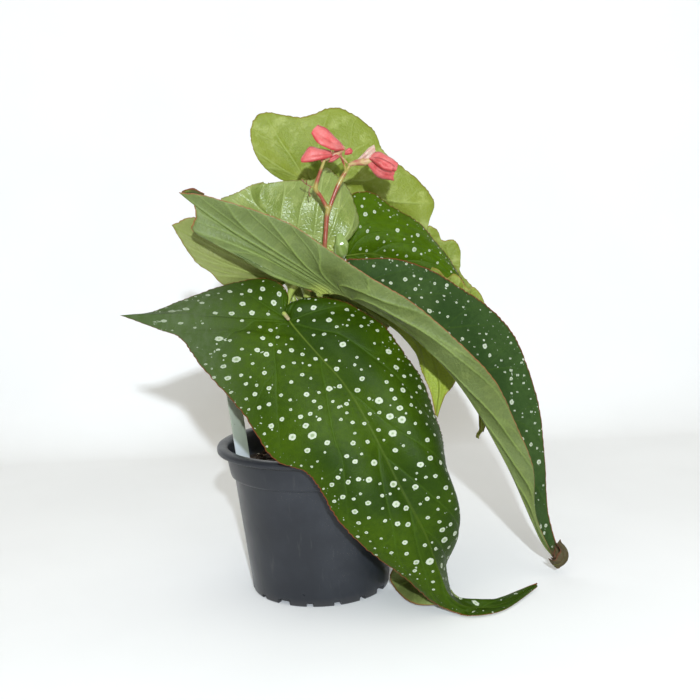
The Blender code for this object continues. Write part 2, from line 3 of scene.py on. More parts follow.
import bmesh
import bpy
import numpy as np
from bpy.props import FloatProperty, FloatVectorProperty, IntProperty, PointerProperty
from mathutils import Matrix, Vector


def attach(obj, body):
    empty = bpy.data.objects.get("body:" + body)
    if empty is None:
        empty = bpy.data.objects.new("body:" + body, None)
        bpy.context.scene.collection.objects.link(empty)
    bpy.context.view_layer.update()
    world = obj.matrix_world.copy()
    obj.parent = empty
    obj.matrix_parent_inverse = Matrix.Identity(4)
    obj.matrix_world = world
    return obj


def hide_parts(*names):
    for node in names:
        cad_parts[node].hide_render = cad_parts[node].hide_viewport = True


bl_info = {
    "name": "Potted begonia",
    "version": (1, 0, 0),
    "blender": (4, 5, 0),
    "location": "View3D > Sidebar > Begonia",
    "description": "Dresses a spotted begonia in its nursery pot and sets up its studio",
    "category": "Object",
}

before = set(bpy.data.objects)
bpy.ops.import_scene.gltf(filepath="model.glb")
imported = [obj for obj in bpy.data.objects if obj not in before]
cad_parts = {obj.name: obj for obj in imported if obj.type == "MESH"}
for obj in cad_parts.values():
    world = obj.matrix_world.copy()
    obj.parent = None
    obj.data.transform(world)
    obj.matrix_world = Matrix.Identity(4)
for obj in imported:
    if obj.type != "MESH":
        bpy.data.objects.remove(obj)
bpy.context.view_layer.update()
MM = 0.001

# Shapes that follow the solids
# Lengths in mm. Each blade: its midrib, the feet of its side veins as shares of the midrib's
# length, and where those veins end on the broad and the narrow edge. Face is the way the
# upper side looks, crown how far the half bulges that way. A vein is given by the stations,
# counted along the feet, where it is at the midrib, at both thirds of the way out and at the edge.
LEAF_1 = {
    "midrib": [(-15, -38, 172), (-7, -46, 162), (6, -54, 147), (17, -60, 134), (29, -67, 113),
               (45, -72, 78), (58, -73, 51), (65, -70, 30), (72, -66, 12), (84, -63, 4),
               (104, -57, 3), (128, -33, 3.5)],
    "feet": [0, .003, .006, .01, .016, .025, .032, .04, .07, .09, .14, .22,
             .31, .36, .41, .49, .57, .65, .73, .79, .84, .92, 1],
    "lobe_tip": 7,
    "broad_edge": [(-13, -37, 176), (-12, -34, 182), (-16, -30, 188), (-27, -26, 192),
                   (-49, -23, 189), (-73, -21, 181), (-92, -20, 174), (-110, -19, 173),
                   (-87, -27, 165), (-74, -34, 160), (-62, -42, 144), (-40, -55, 120),
                   (-24, -65, 96), (-7, -68.5, 88.5), (1, -71, 79), (10, -73, 62),
                   (25, -71, 44), (45, -68, 26), (61, -63, 9), (75, -65, 1.8), (84, -69, 1.4),
                   (103, -62, 1.4), (128, -34, 2.5)],
    "narrow_edge": [(-12, -37, 175), (-10, -36, 178), (-6, -36, 180), (-1, -36, 181),
                    (9, -36, 180), (20, -36, 177), (26, -36, 174), (31, -37, 171),
                    (38, -38, 166), (43, -39, 161), (53, -43, 146), (62, -47, 132),
                    (68, -50, 113), (71, -50, 102), (72, -48, 90), (72, -40, 66), (64, -29, 39),
                    (44, -17, 12.6), (42.8, -18, 1.6), (54, -49, 1.6), (80, -57, 6),
                    (97, -56, 5), (128.5, -32, 4)],
    "broad_face": [(0, -.4, .9), (0, -.6, .8), (-.3, -.8, .5), (0, -.9, .4), (0, -.3, .9)],
    "narrow_face": [(0, -.5, .8), (.2, -.8, .5), (.9, -.4, .2), (1, -.2, .1), (0, 0, 1)],
    "broad_crown": [1, 3, 4, 4, 6, 6, 5, 3, 0, 0],
    "narrow_crown": [1, 3, 4, 4, 6, 9, 13, 18, 17, 3, 0],
    "wave": 0.6,
    "wave_turns": 5,
    "broad_veins": [(3.2, 2.4, 1.9, 1.6), (4.3, 4.2, 4, 3.8), (5.3, 6.6, 7.05, 7), (5.7, 7.7, 9.3, 10.25),
                    (6.2, 9.7, 11.1, 12.4), (9.9, 11.9, 14.2, 15.6), (12.9, 15.3, 16.5, 17.4),
                    (15, 16.9, 17.9, 18.9), (17.3, 18.5, 19.4, 20.3), (19.6, 20.4, 21, 21.5)],
    "narrow_veins": [(3.2, 2.8, 2.4, 2), (5, 5.2, 5.4, 5.6), (6.6, 8.5, 11.2, 12.6), (11.1, 12.7, 14, 15),
                     (13.5, 15.4, 16.5, 17.4), (15.8, 17.2, 18.2, 19), (17.7, 18.8, 19.8, 20.6),
                     (19.6, 20.5, 21.2, 21.6)],
}

LEAF_2 = {
    "midrib": [(5, -30, 183), (18, -33, 182), (33, -36, 174), (49, -38, 164), (65, -38, 150),
               (80, -36, 133), (94, -33, 112), (105, -28, 92), (117, -22, 68), (130, -16, 37),
               (138, -12, 20), (147, -9, 9)],
    "feet": [0, .003, .006, .01, .014, .018, .022, .03, .045, .07,
             .11, .17, .25, .35, .46, .57, .68, .79, .9, 1],
    "lobe_tip": 7,
    "broad_edge": [(1, -31, 184), (-16, -37, 193), (-27, -41, 198), (-49, -47, 213),
                   (-62, -50, 221), (-60, -51, 228), (-61, -51, 235), (-68, -52, 241),
                   (-53, -55, 239), (-28, -56, 231), (-8, -56, 222), (12, -56, 207),
                   (33, -55, 192), (58, -52, 176), (82, -48, 154), (103, -42, 130),
                   (116, -34, 103), (128, -26, 74), (132, -17, 41), (146.5, -9.5, 7)],
    "narrow_edge": [(5, -29, 185), (8, -27, 187), (11.5, -25, 189), (15, -22, 191.5),
                    (18, -18, 194), (21, -13, 197), (24, -8, 199.5), (29, -2, 200),
                    (38, 0, 200), (50, 2, 199), (61, 4, 196), (76, 5, 190),
                    (92, 5, 180), (106, 5, 170), (120, 4, 155), (129, 2, 137),
                    (138, -1, 106), (141, -4, 75), (142, -7, 39), (149, -8.5, 9)],
    "broad_face": [(0, .8, .5), (.3, .8, .5), (.4, .7, .6)],
    "narrow_face": [(0, -.6, .8), (.3, -.7, .6), (.6, -.7, .4)],
    "broad_crown": [-1, -4, -4, -3, 0],
    "narrow_crown": [-1, -6, -8, -6, 0],
    "wave": 0.6,
    "wave_turns": 4,
    "broad_veins": [(2.6, 2.5, 2.2, 2), (6.2, 6, 5, 4), (7.4, 7.1, 6.3, 5.4), (8.2, 7.9, 7.2, 7),
                    (8.4, 8.35, 8.05, 8.4), (8.6, 8.8, 9.15, 9.25), (8.9, 9.4, 10.2, 10.7),
                    (9.1, 10.2, 12, 13.4), (9.6, 11.2, 13.6, 16),
                    (12.5, 14.5, 16.2, 17.2), (14.6, 16.4, 17.4, 18.1), (16.4, 17.6, 18.3, 18.8)],
    "narrow_veins": [(3.2, 2.8, 2.5, 2.2), (5.5, 5.6, 5.8, 6), (6.8, 8, 9.2, 10.6), (9.4, 10.4, 11.2, 12.3),
                     (11.2, 12.2, 13, 13.9), (12.8, 13.8, 14.6, 15.4), (14.4, 15.3, 16, 16.8),
                     (16, 16.8, 17.4, 18)],
}

LEAF_3 = {
    "midrib": [(-13, -6, 189), (5, -2, 184), (26, 3, 176), (46, 7, 166), (64, 9, 153),
               (74, 8, 138), (78, 6, 120), (75, 4, 101)],
    "feet": [0, .005, .01, .015, .02, .025, .03, .04, .06, .1, .18, .3, .45, .6, .75, .9, 1],
    "lobe_tip": 7,
    "broad_edge": [(-15, -8, 189), (-28, -12, 183), (-40, -16, 184), (-50, -20, 189),
                   (-56, -23, 196), (-63, -25, 201), (-69, -27, 210), (-76, -28, 224),
                   (-63, -28, 228), (-44, -26, 219), (-21, -21, 205), (7, -13, 188),
                   (36, -6, 172), (66, -2, 153), (87, 2, 127), (80.5, 3.7, 112.5), (76, 4, 100)],
    "narrow_edge": [(-12, -5, 187), (-10, -5, 184), (-8, -5, 179), (-5, -4, 174), (-1, -3, 168),
                    (5, -2, 163), (12, 0, 157), (21, 3, 153), (32, 7, 151), (44, 10, 154),
                    (52, 12, 159), (57, 12, 152), (61, 12, 145), (65, 11, 137), (67.5, 10, 128),
                    (72, 7, 116), (74.5, 4.2, 101)],
    "broad_face": [(0, .8, .5), (.3, .8, .5)],
    "narrow_face": [(0, .8, .5), (.4, .8, .4)],
    "broad_crown": [-1, -3, -3, 0],
    "narrow_crown": [-1, -2, -2, 0],
    "wave": 0.6,
    "wave_turns": 4,
    "broad_veins": [(2, 2.2, 2.4, 2.6), (4, 4.4, 4.7, 5.1), (5.6, 5.8, 6, 6.2), (6.8, 7, 7, 7),
                    (7.8, 8.2, 8.6, 9), (9.4, 10, 10.6, 11.2), (10.8, 11.6, 12.2, 12.8),
                    (12.4, 13.2, 13.8, 14.4)],
    "narrow_veins": [(2, 2.2, 2.4, 2.6), (4.4, 4.8, 5.2, 5.6), (6.6, 7.2, 7.8, 8.2), (8.4, 9.2, 10, 10.6),
                     (10.2, 11.2, 12, 12.6), (12, 13, 13.8, 14.4)],
}

LEAF_4 = {
    "midrib": [(16, 2, 205), (2, 2, 213), (-13, 3, 221), (-24, 6, 229), (-27, 9, 238), (-23, 10, 246)],
    "feet": [0, .01, .02, .04, .08, .13, .19, .26, .34, .42, .52, .66, .82, 1],
    "lobe_tip": None,
    "broad_edge": [(18.5, 4, 213.5), (23.5, 6, 216), (29, 8, 216), (31.5, 10, 221.5),
                   (29, 12, 232), (27, 13, 239.5), (23, 13, 246), (17.5, 12, 251),
                   (13.5, 11, 254), (9, 10, 251), (5, 10, 247.5), (-4, 11, 247.5),
                   (-14.5, 11, 247), (-22, 10, 246.5)],
    "narrow_edge": [(12, 3, 204), (7, 2, 205), (1, 1, 206), (-6, 0, 208), (-13, -1, 211),
                    (-20, -2, 214), (-27, -3, 218), (-34, -4, 222), (-42, -4, 229),
                    (-50, -3, 237), (-46, 0, 239), (-39, 3, 242), (-32, 6, 245.5), (-25, 10, 247)],
    "broad_face": [(0, .9, .3), (.2, .9, .3)],
    "narrow_face": [(0, .9, .3), (-.2, .9, .3)],
    "broad_crown": [-2, -6, -7, -5, 0],
    "narrow_crown": [-1, -3, -4, -3, 0],
    "wave": 0.7,
    "wave_turns": 3,
    "broad_veins": [(1, 1.2, 1.4, 1.6), (2.6, 3, 3.4, 3.8), (4.4, 5, 5.6, 6.2), (6.4, 7.2, 7.8, 8.4),
                    (8.4, 9.2, 9.8, 10.4), (10.2, 10.8, 11.3, 11.8)],
    "narrow_veins": [(1.4, 1.6, 1.8, 2), (3.6, 4.2, 4.8, 5.2), (6, 6.8, 7.4, 8), (8.2, 9, 9.6, 10.2),
                     (10, 10.8, 11.4, 12)],
}

LEAF_5 = {
    "midrib": [(-1, 38, 250), (25, 44, 240), (57, 50, 218), (86, 52, 187), (103, 48, 151),
               (110, 42, 112), (108, 38, 82)],
    "feet": [0, .01, .02, .03, .045, .06, .09, .13, .18, .24, .31, .38, .45, .47, .49, .51, .53, .59, .62,
             .7, .8, .9, 1],
    "lobe_tip": None,
    "broad_edge": [(-5, 36, 247), (-15, 32, 249), (-25, 30, 257), (-31, 30, 268), (-32, 32, 281),
                   (-24, 34, 290), (0, 36, 287), (22, 38, 292), (43, 40, 279), (51, 42, 264),
                   (72, 44, 246), (82, 45.5, 231), (76, 46, 219), (80, 45, 216.5), (84, 46, 213),
                   (87, 46.5, 207.5), (94, 45, 207.5), (98, 45, 200), (98, 46, 187),
                   (113, 45.5, 167), (121, 42, 138), (118, 40, 106), (110, 38, 82)],
    "narrow_edge": [(-3, 40, 245), (-1, 42, 242), (2, 44, 238), (5, 46, 234), (9, 47, 230),
                    (14, 48, 227), (20, 50, 225), (26, 52, 222), (33, 54, 220), (40, 56, 215),
                    (48, 57, 210), (56, 57, 203), (65, 57, 194), (67, 57, 191.5), (69.5, 57, 189),
                    (72, 56.5, 186), (74, 56, 183), (80, 54.5, 173), (83, 54, 167),
                    (93, 51, 145), (103, 47, 122), (107, 42, 99), (107.5, 38, 83)],
    "broad_face": [(0, .9, .3), (.3, .9, .3)],
    "narrow_face": [(0, .9, .3), (.3, .9, .3)],
    "broad_crown": [-2, -5, -5, -3, 0],
    "narrow_crown": [-1, -2, -3, -2, 0],
    "wave": 1.0,
    "wave_turns": 7,
    "broad_veins": [(0.8, 2.2, 2.8, 3), (1.8, 4.2, 4.8, 5), (2.8, 5.6, 6.3, 6.8), (4.4, 6.8, 7.7, 8.3),
                    (6.2, 8.2, 9, 9.6), (7.9, 9.4, 10.3, 11), (9.6, 11, 11.8, 14.4),
                    (11.4, 15.2, 16.9, 17.7), (16.8, 18.4, 19.2, 19.8), (19, 20, 20.8, 21.2)],
    "narrow_veins": [(2, 2.4, 2.8, 3.2), (5, 5.6, 6.2, 6.8), (7.6, 8.4, 9, 9.6), (9.8, 10.8, 11.4, 12),
                     (12, 15.2, 17.2, 18), (18, 18.8, 19.6, 20.2)],
}

LEAF_6 = {
    "midrib": [(21, 14, 201), (41, 20, 201), (67, 25, 191), (91, 26, 170), (112, 22, 139)],
    "feet": [0, .01, .03, .06, .1, .16, .24, .34, .46, .6, .8, 1],
    "lobe_tip": None,
    "broad_edge": [(22, 15, 205), (23, 18, 214), (26, 22, 227), (28, 26, 238), (41, 30, 239),
                   (53, 32, 231), (70, 34, 220), (81, 35, 207), (90, 34, 196), (97, 32, 182),
                   (107, 28, 162), (113, 22, 141)],
    "narrow_edge": [(23, 15, 198), (27, 16, 196), (30, 17, 194), (35, 18, 191), (42, 20, 188),
                    (49, 21, 183), (58, 22, 177), (68, 23, 170), (79, 24, 162), (91, 24, 153),
                    (102, 23, 145), (111, 22, 138)],
    "broad_face": [(0, -.8, .5), (.3, -.8, .5)],
    "narrow_face": [(0, -.6, .8), (.3, -.6, .7)],
    "broad_crown": [1, 5, 6, 4, 0],
    "narrow_crown": [1, 2, 3, 2, 0],
    "wave": 0.7,
    "wave_turns": 4,
    "broad_veins": [(0.5, 1.3, 2, 2.6), (0.9, 2.5, 3.8, 4.6), (1.3, 3.5, 5.6, 6.8), (1.9, 4.7, 7.4, 8.7),
                    (5, 6.2, 8.3, 9.5), (6.8, 7.9, 9.3, 10.2), (8.6, 9.4, 10.1, 10.7)],
    "narrow_veins": [(1, 1.1, 1.2, 1.2), (2.8, 3.2, 3.6, 4), (4.8, 5.6, 6.2, 6.8), (6.8, 7.7, 8.4, 9),
                     (8.6, 9.3, 9.9, 10.3)],
}

# Stems: points along each axis and the radius at each
CANE_PATH = [(3, 9, 42), (3, 9, 80), (1, 8, 112), (3, 8, 140), (9, 8, 166), (14, 7, 186), (17, 6, 199)]
CANE_RADII = [4.2, 4.2, 3.9, 3.7, 3.4, 3.0, 2.4]
CANE_NODES = (1.35, 2.15, 2.9, 3.6, 4.3, 5.0)
NODE_SWELLING = 0.7
NODE_LENGTH = 0.12
PETIOLES = [
    [(3, 8, 124), (1, -6, 142), (0, -14, 162), (-1.5, -15, 180), (-5, -17.5, 188), (-9.9, -24, 184.5),
     (-12.4, -30.5, 179), (-14.8, -37.3, 171.6)],
    [(5, 8, 150), (8, -3, 153), (8, -16, 165), (5.7, -28.6, 182)],
    [(3, 8, 136), (3, -1, 143), (-3, -8, 158), (-9.5, -10.5, 177), (-12.4, -8.2, 187.6)],
    [(15.5, 6.3, 194), (16.7, 2.2, 204.6)],
    [(12, 8, 176), (8, 12, 202), (3.5, 20, 216), (0.5, 28, 232), (-1.2, 35.6, 247.8)],
    [(15.2, 6.6, 189), (18.5, 12.5, 195), (21, 15, 200.2)],
]
PETIOLE_RADII = [2.2, 2.3, 2.1, 1.3]
STALK = [(15.2, 2.75, 193.4), (12, -6, 197), (9.3, -12, 202), (10, -14, 208.5), (11, -14, 217.5),
         (12, -14, 226), (13, -14, 230)]
STALK_RADII = [1.6, 1.4, 1.3, 1.3, 1.3, 1.4, 1.7]
BRANCHES = [
    ([(13, -14, 228.5), (9, -15, 236.5), (6, -16, 241.5), (8, -17, 248.5), (11.5, -18, 257.0)],
     [1.3, 1.1, 1.5, 1.0, 0.9]),
    ([(13, -14, 228.5), (16.5, -13, 237.5), (20.5, -12, 245.5), (26.4, -11, 254.4)],
     [1.3, 1.1, 1.5, 1.0]),
    ([(24, -12, 251), (23, -13.4, 254.6), (21.4, -15, 258.4)], [0.9, 0.7, 0.6]),
    ([(6, -16, 241.8), (3.4, -15.4, 242.8), (0.5, -15, 244.3), (-1.7, -15, 246.8)], [0.8, 0.4, 0.34, 0.5]),
    ([(3.2, -15.4, 242.9), (2.1, -15.6, 239.9), (2.6, -15.4, 237.2)], [0.4, 0.34, 0.45]),
    ([(1, -15, 244), (0.8, -16.4, 246.2)], [0.36, 0.34]),
]
STALK_JOINTS = [(5.6, -16, 242), (12.6, -14, 229), (10.6, -18, 255), (20.6, -12, 245.6), (24.4, -12, 252.4)]
FOLDED_LEAF = [(18.6, 2.6, 198), (19.2, -1.5, 200.5), (19.6, -4.5, 204), (19.8, -6.5, 209), (19, -6.5, 213.5)]
FOLDED_LEAF_RADII = [0.9, 2.0, 4.0, 4.4, 2.2]
CALLUS = [(-14.8, -37.3, 171.6), (-14.6, -41, 172.4), (-12.4, -43.4, 169.6)]
CALLUS_RADII = [1.2, 1.3, 1.1]

# Thin forms that are given only by a middle line and two edges
PETALS = {
    "bloom_left": [
        {"midrib": [(23, -17, 263.5), (17.9, -22, 266), (11.2, -24.5, 269.8), (5.7, -24, 274.2)],
         "broad_edge": [(23, -16.5, 265), (19.5, -20, 268.6), (13.7, -21.5, 274.4), (8.7, -22, 277)],
         "narrow_edge": [(23, -18, 262.3), (16.6, -24, 262.4), (8.6, -26.5, 266), (4.6, -24.5, 272)]},
        {"midrib": [(16.5, -18, 260.6), (10.3, -21, 260.1), (4, -22, 259.7), (-1.9, -20, 257.6)],
         "broad_edge": [(16.5, -17, 262.3), (10.4, -18.5, 263.6), (3.7, -19.5, 265), (-0.6, -19, 260.6)],
         "narrow_edge": [(16, -19, 258.9), (10.2, -22, 257.6), (3.9, -22, 256.4), (-1.4, -21, 256.2)]},
        {"midrib": [(21.5, -16, 260.5), (17.5, -18.5, 258.2), (14.5, -19.5, 256.8)],
         "broad_edge": [(22, -16, 262), (18.5, -19, 260.5), (15, -20, 258.4)],
         "narrow_edge": [(20.5, -16, 258.8), (16.5, -17.5, 256.2), (13.6, -18.5, 256)]},
        {"midrib": [(23.5, -16, 261.2), (26, -16.5, 262.2), (28, -16, 261.6)],
         "broad_edge": [(23.6, -15.6, 262.4), (26.2, -16, 264), (28.2, -15.6, 262.6)],
         "narrow_edge": [(23.2, -16.2, 260), (26, -17, 260), (27.6, -16.4, 260.6)]},
    ],
    "bloom_right": [
        {"midrib": [(37.5, -13, 258.5), (43, -17, 257.5), (48.6, -18, 255), (53.6, -17, 252.4)],
         "broad_edge": [(39.4, -12, 261), (44.5, -14, 261), (50.1, -15, 257.4), (54, -16, 254.6)],
         "narrow_edge": [(37.4, -14, 256.8), (42.2, -19, 254.4), (47.8, -20, 251.8), (52.4, -19, 249.6)]},
        {"midrib": [(36.9, -12.5, 256.8), (40.6, -16, 252), (45.7, -16, 248.4), (51.2, -14, 247)],
         "broad_edge": [(38.1, -12.5, 257.4), (43.5, -16, 253.6), (48.6, -17, 251.1), (52.3, -16, 250.2)],
         "narrow_edge": [(35.7, -12, 255.8), (38.5, -12.5, 251), (43.6, -12, 246.2), (51.7, -12, 244.6)]},
        {"midrib": [(38.6, -14, 257.9), (43.2, -20, 255.4), (47, -21, 253), (50.6, -20.5, 251.4)],
         "broad_edge": [(39, -13.5, 258.6), (44, -19, 257.4), (48.4, -20, 255), (51.8, -19.6, 252.6)],
         "narrow_edge": [(38, -14.4, 257), (42, -20.5, 253.2), (45.4, -21.5, 250.8), (49.8, -21, 249.8)]},
    ],
}
PALE_WINGS = {
    "bloom_left": [],
    "bloom_right": [
        {"midrib": [(30.2, -12, 255.6), (34.2, -12.6, 258), (38, -12.8, 261), (41.2, -12.6, 264)],
         "broad_edge": [(30, -11.8, 256.4), (33.4, -12, 259.8), (37.2, -12, 263.4), (40.7, -12, 265.6)],
         "narrow_edge": [(30.6, -12, 254.8), (35, -13.2, 256.4), (38.8, -13.6, 258.4), (41.4, -13, 261.8)]},
    ],
}
CORES = {
    "bloom_left": [([(10.2, -17.6, 257), (14, -17.4, 258.8), (18, -17.2, 260.4), (22.6, -16.6, 263.6)],
                    [0.9, 1.6, 2.0, 1.5]),
                   ([(20, -17, 260.5), (22.4, -15.6, 258), (24.6, -15, 255.6)], [0.8, 0.6, 0.5]),
                   ([(17, -18, 260), (15.8, -20.4, 261.6), (15.4, -21.6, 264)], [0.4, 0.35, 0.3])],
    "bloom_right": [([(26.2, -11.2, 254.6), (30, -11.8, 255.6), (35, -12.4, 256), (39, -13, 256.6)],
                     [1.1, 1.7, 2.3, 1.6])],
}
DRIED_TIP = [
    {"midrib": [(143, -11, 7.2), (146.8, -12.4, 8.6), (149.8, -11.4, 12), (149.6, -8.6, 16.6),
                (146.8, -7.4, 19.4)],
     "broad_edge": [(140.6, -11.6, 11), (143.4, -14.4, 12.4), (146.4, -14.2, 14.8), (146.6, -11, 18.6),
                    (144.6, -8.6, 21.6)],
     "narrow_edge": [(145.4, -10, 4.9), (149.6, -9.4, 6.2), (152, -7.8, 11), (151.9, -6, 17.4),
                     (148.6, -5.8, 21.4)]},
    {"midrib": [(144.2, -10, 9), (146.4, -10.6, 12.4), (147.4, -9, 16), (145.6, -7.4, 19)],
     "broad_edge": [(142.4, -10.2, 11), (143.6, -11.6, 14), (144.6, -9.6, 17.6), (143.6, -7.6, 20.4)],
     "narrow_edge": [(145.8, -9.6, 7.4), (149, -9.2, 10.4), (150, -7.8, 14.6), (148, -6.4, 18.4)]},
]
CURLED_LOBE = {
    "midrib": [(-66.4, -51.4, 241), (-62.8, -51.2, 242), (-59, -51.6, 241.4), (-54.6, -52.4, 239.2)],
    "broad_edge": [(-66.2, -51, 240.4), (-62.8, -53, 240), (-59, -53.4, 239.4), (-54.4, -53, 238.2)],
    "narrow_edge": [(-66.4, -51, 241.6), (-62.8, -49.4, 243.2), (-58.8, -49.4, 242.6), (-54.4, -51, 240)],
}
LEAF_6_HEM = {
    "midrib": [(71, 15, 183), (76.5, 15, 180), (80, 14, 177), (84.5, 15, 175), (89, 15, 171), (92, 14, 168),
               (95, 15, 165.5), (99, 14, 161), (103, 14, 156)],
    "broad_edge": [(75.2, 9, 192), (79.6, 10.4, 190.6), (84, 7.6, 186), (88.6, 10.4, 187.6),
                   (92.6, 10.8, 185), (96.4, 7.8, 179), (100.8, 10.6, 179.4), (105, 10, 174.6),
                   (107.6, 9.4, 168)],
    "narrow_edge": [(66, 22, 171), (71, 22.5, 167.5), (76, 23, 164), (81, 23.5, 160.5), (86, 24, 157),
                    (91, 24, 153.5), (96, 24, 149.5), (101, 23.5, 146), (106, 22.5, 142)],
}
LEAF_5_HOOK = {
    "midrib": [(109.4, 38, 86), (108.4, 38.4, 82.6), (106.6, 39.4, 80), (106.2, 40.4, 77.4)],
    "broad_edge": [(111.6, 38, 87), (109.8, 38.4, 82.4), (107.6, 39.4, 79.2), (107.4, 40.4, 76.6)],
    "narrow_edge": [(107.6, 38, 86), (107, 38.6, 82.8), (105.6, 39.6, 80.4), (105.4, 40.6, 77.6)],
}

# Pot: radii and heights
POT_PROFILE = [
    (54.6, 90.3), (55.6, 90.55), (57.5, 90.6), (58.7, 90.45), (59.5, 90.0), (59.9, 89.3), (60.0, 88.4),
    (59.95, 87.4), (59.75, 86.85), (59.2, 86.6), (57.0, 86.6), (55.3, 86.75), (54.85, 86.5),
    (54.6, 85.8), (54.4, 84.0), (53.6, 79.2), (52.6, 73.6), (52.2, 72.5), (51.9, 72.1), (51.4, 71.9),
    (50.6, 71.75), (50.25, 71.5), (50.1, 71.0), (48.1, 53.2), (46.0, 35.5), (44.0, 17.8), (42.15, 1.4),
    (42.0, 0.8), (41.8, 0.35), (41.3, 0.0), (38.6, 0.0), (38.4, 0.2), (38.2, 2.8), (38.0, 3.0),
    (26.0, 3.0), (14.5, 3.0), (14.3, 2.8), (14.0, 0.1), (13.8, 0.0), (0.0, 0.0), (0.0, 4.6),
    (20.0, 4.6), (38.8, 4.6), (39.9, 4.9), (40.3, 5.6), (42.6, 25.8), (45.0, 48.0), (48.6, 71.0),
    (49.0, 71.9), (50.7, 73.0), (51.6, 78.0), (53.1, 86.6), (53.6, 89.3), (54.0, 90.0), (54.6, 90.3),
]
FOOT_RADIUS = 42.0
FOOT_WIDTH = 3.6
NOTCHES = 16
NOTCH_TURN = math.radians(-122.5)
DRAIN_HOLES = 8
SOIL_RADIUS = 50.2
SOIL_EDGE_HEIGHT = 76.0
SOIL_MIDDLE_HEIGHT = 79.5
LABEL_TIP = (-41.8, -1.2, 54.0)
LABEL_UP = (-0.079, -0.2, 0.976)
LABEL_ACROSS = (0.72, 0.69, 0.0)
LABEL_HALF_WIDTH = 4.8
LABEL_HALF_THICKNESS = 0.45
LABEL_LENGTH = 92.0
LABEL_POINT = 23.5
LABEL_CORNER = 2.4
LABEL_AT_SOIL = (-44, -8)
CANE_AT_SOIL = (3, 9)
CANE_HOLE_RADIUS = 4.75

# Looks of the blades, in mm: the gap between spots, the radius that means no spot, the least
# half thickness at a margin and the share of the thickness that is left there
SPOT_GAP = 2.3
NO_SPOT = -4.0
LEAST_HALF = 0.06
RIM_SHARE = 0.3
SPOT_TRIES = 12000
FIRST_SPOT_SEED = 11

# Studio, in metres and degrees
CAMERA_PLACE = (0.0, -0.6, 0.2275)
CAMERA_TILT, CAMERA_YAW, CAMERA_ROLL = 7.85, 2.2, -2.05
FOCAL_PIXELS, FRAME_PIXELS, SENSOR_MM = 1001, 700, 36.0
FLASH_PLACE, FLASH_TARGET, FLASH_SIZE = (0.053, -0.971, 0.428), (0.02, 0.1, 0.15), 0.022
CEILING_PLACE, CEILING_TARGET, CEILING_SIZE = (0.0, -0.8, 1.7), (0.0, 0.1, 0.0), 2.2
PAPER_FRONT, PAPER_TOP, PAPER_HALF_WIDTH = -1.6, 1.8, 2.2
SWEEP_START, SWEEP_RADIUS, SWEEP_STEPS = 0.34, 0.06, 12


# Curves and surfaces
def spline(values, q):
    """A smooth curve through the values, read at the indices q, which need not be whole."""
    values = np.asarray(values, float)
    q = np.asarray(q, float)
    single = values.ndim == 1
    if single:
        values = values[:, None]
    last = len(values) - 1
    i = np.clip(q.astype(int), 0, last - 1)
    f = (q - i)[..., None]
    b, c = values[i], values[i + 1]
    a = np.where((i > 0)[..., None], values[np.maximum(i - 1, 0)], b * 2 - c)
    d = np.where((i + 2 <= last)[..., None], values[np.minimum(i + 2, last)], c * 2 - b)
    out = b + (c - a) * (f / 2) + (a * 2 - b * 5 + c * 4 - d) * (f * f / 2) + (
        b * 3 - a - c * 3 + d) * (f * f * f / 2)
    return out[..., 0] if single else out


def cornered(values, q, corner):
    """spline(), but with a sharp point at the value numbered corner, if there is one."""
    if corner is None:
        return spline(values, q)
    values = np.asarray(values, float)
    before = spline(values[:corner + 1], np.minimum(q, corner))
    after = spline(values[corner:], np.maximum(q - corner, 0))
    inside = q <= corner
    return np.where(inside if values.ndim == 1 else inside[..., None], before, after)


def along(points, u):
    """The smooth curve through the points at the share u of its length, and that length."""
    points = np.asarray(points, float)
    reach = np.concatenate([[0], np.cumsum(np.linalg.norm(np.diff(points, axis=0), axis=1))])
    goal = np.clip(u, 0, 1) * reach[-1]
    i = np.clip(np.searchsorted(reach[1:], goal, side="left"), 0, len(points) - 2)
    return spline(points, i + (goal - reach[i]) / (reach[i + 1] - reach[i])), goal


def unit(v):
    return v / np.maximum(np.linalg.norm(v, axis=-1, keepdims=True), 1e-9)


def smooth(x):
    x = np.clip(x, 0, 1)
    return x * x * (3 - 2 * x)


def vein_phase(q, t, veins):
    """Which vein each point of the grid is on: a whole number on each, and halves between them."""
    phase = np.empty_like(q)
    number = np.arange(len(veins), dtype=float)
    for column in range(q.shape[1]):
        at = spline(np.array(veins, float).T, np.full(1, t[0, column] * 3))[0]
        at = np.maximum.accumulate(at + number * 1e-4)
        before = (q[:, column] - at[0]) / max(at[1] - at[0], 0.3)
        behind = number[-1] + (q[:, column] - at[-1]) / max(at[-1] - at[-2], 0.3)
        inner = np.interp(q[:, column], at, number)
        inner = np.where(q[:, column] < at[0], before, inner)
        phase[:, column] = np.where(q[:, column] > at[-1], behind, inner)
    return np.clip(phase, -0.5, number[-1] + 0.5)


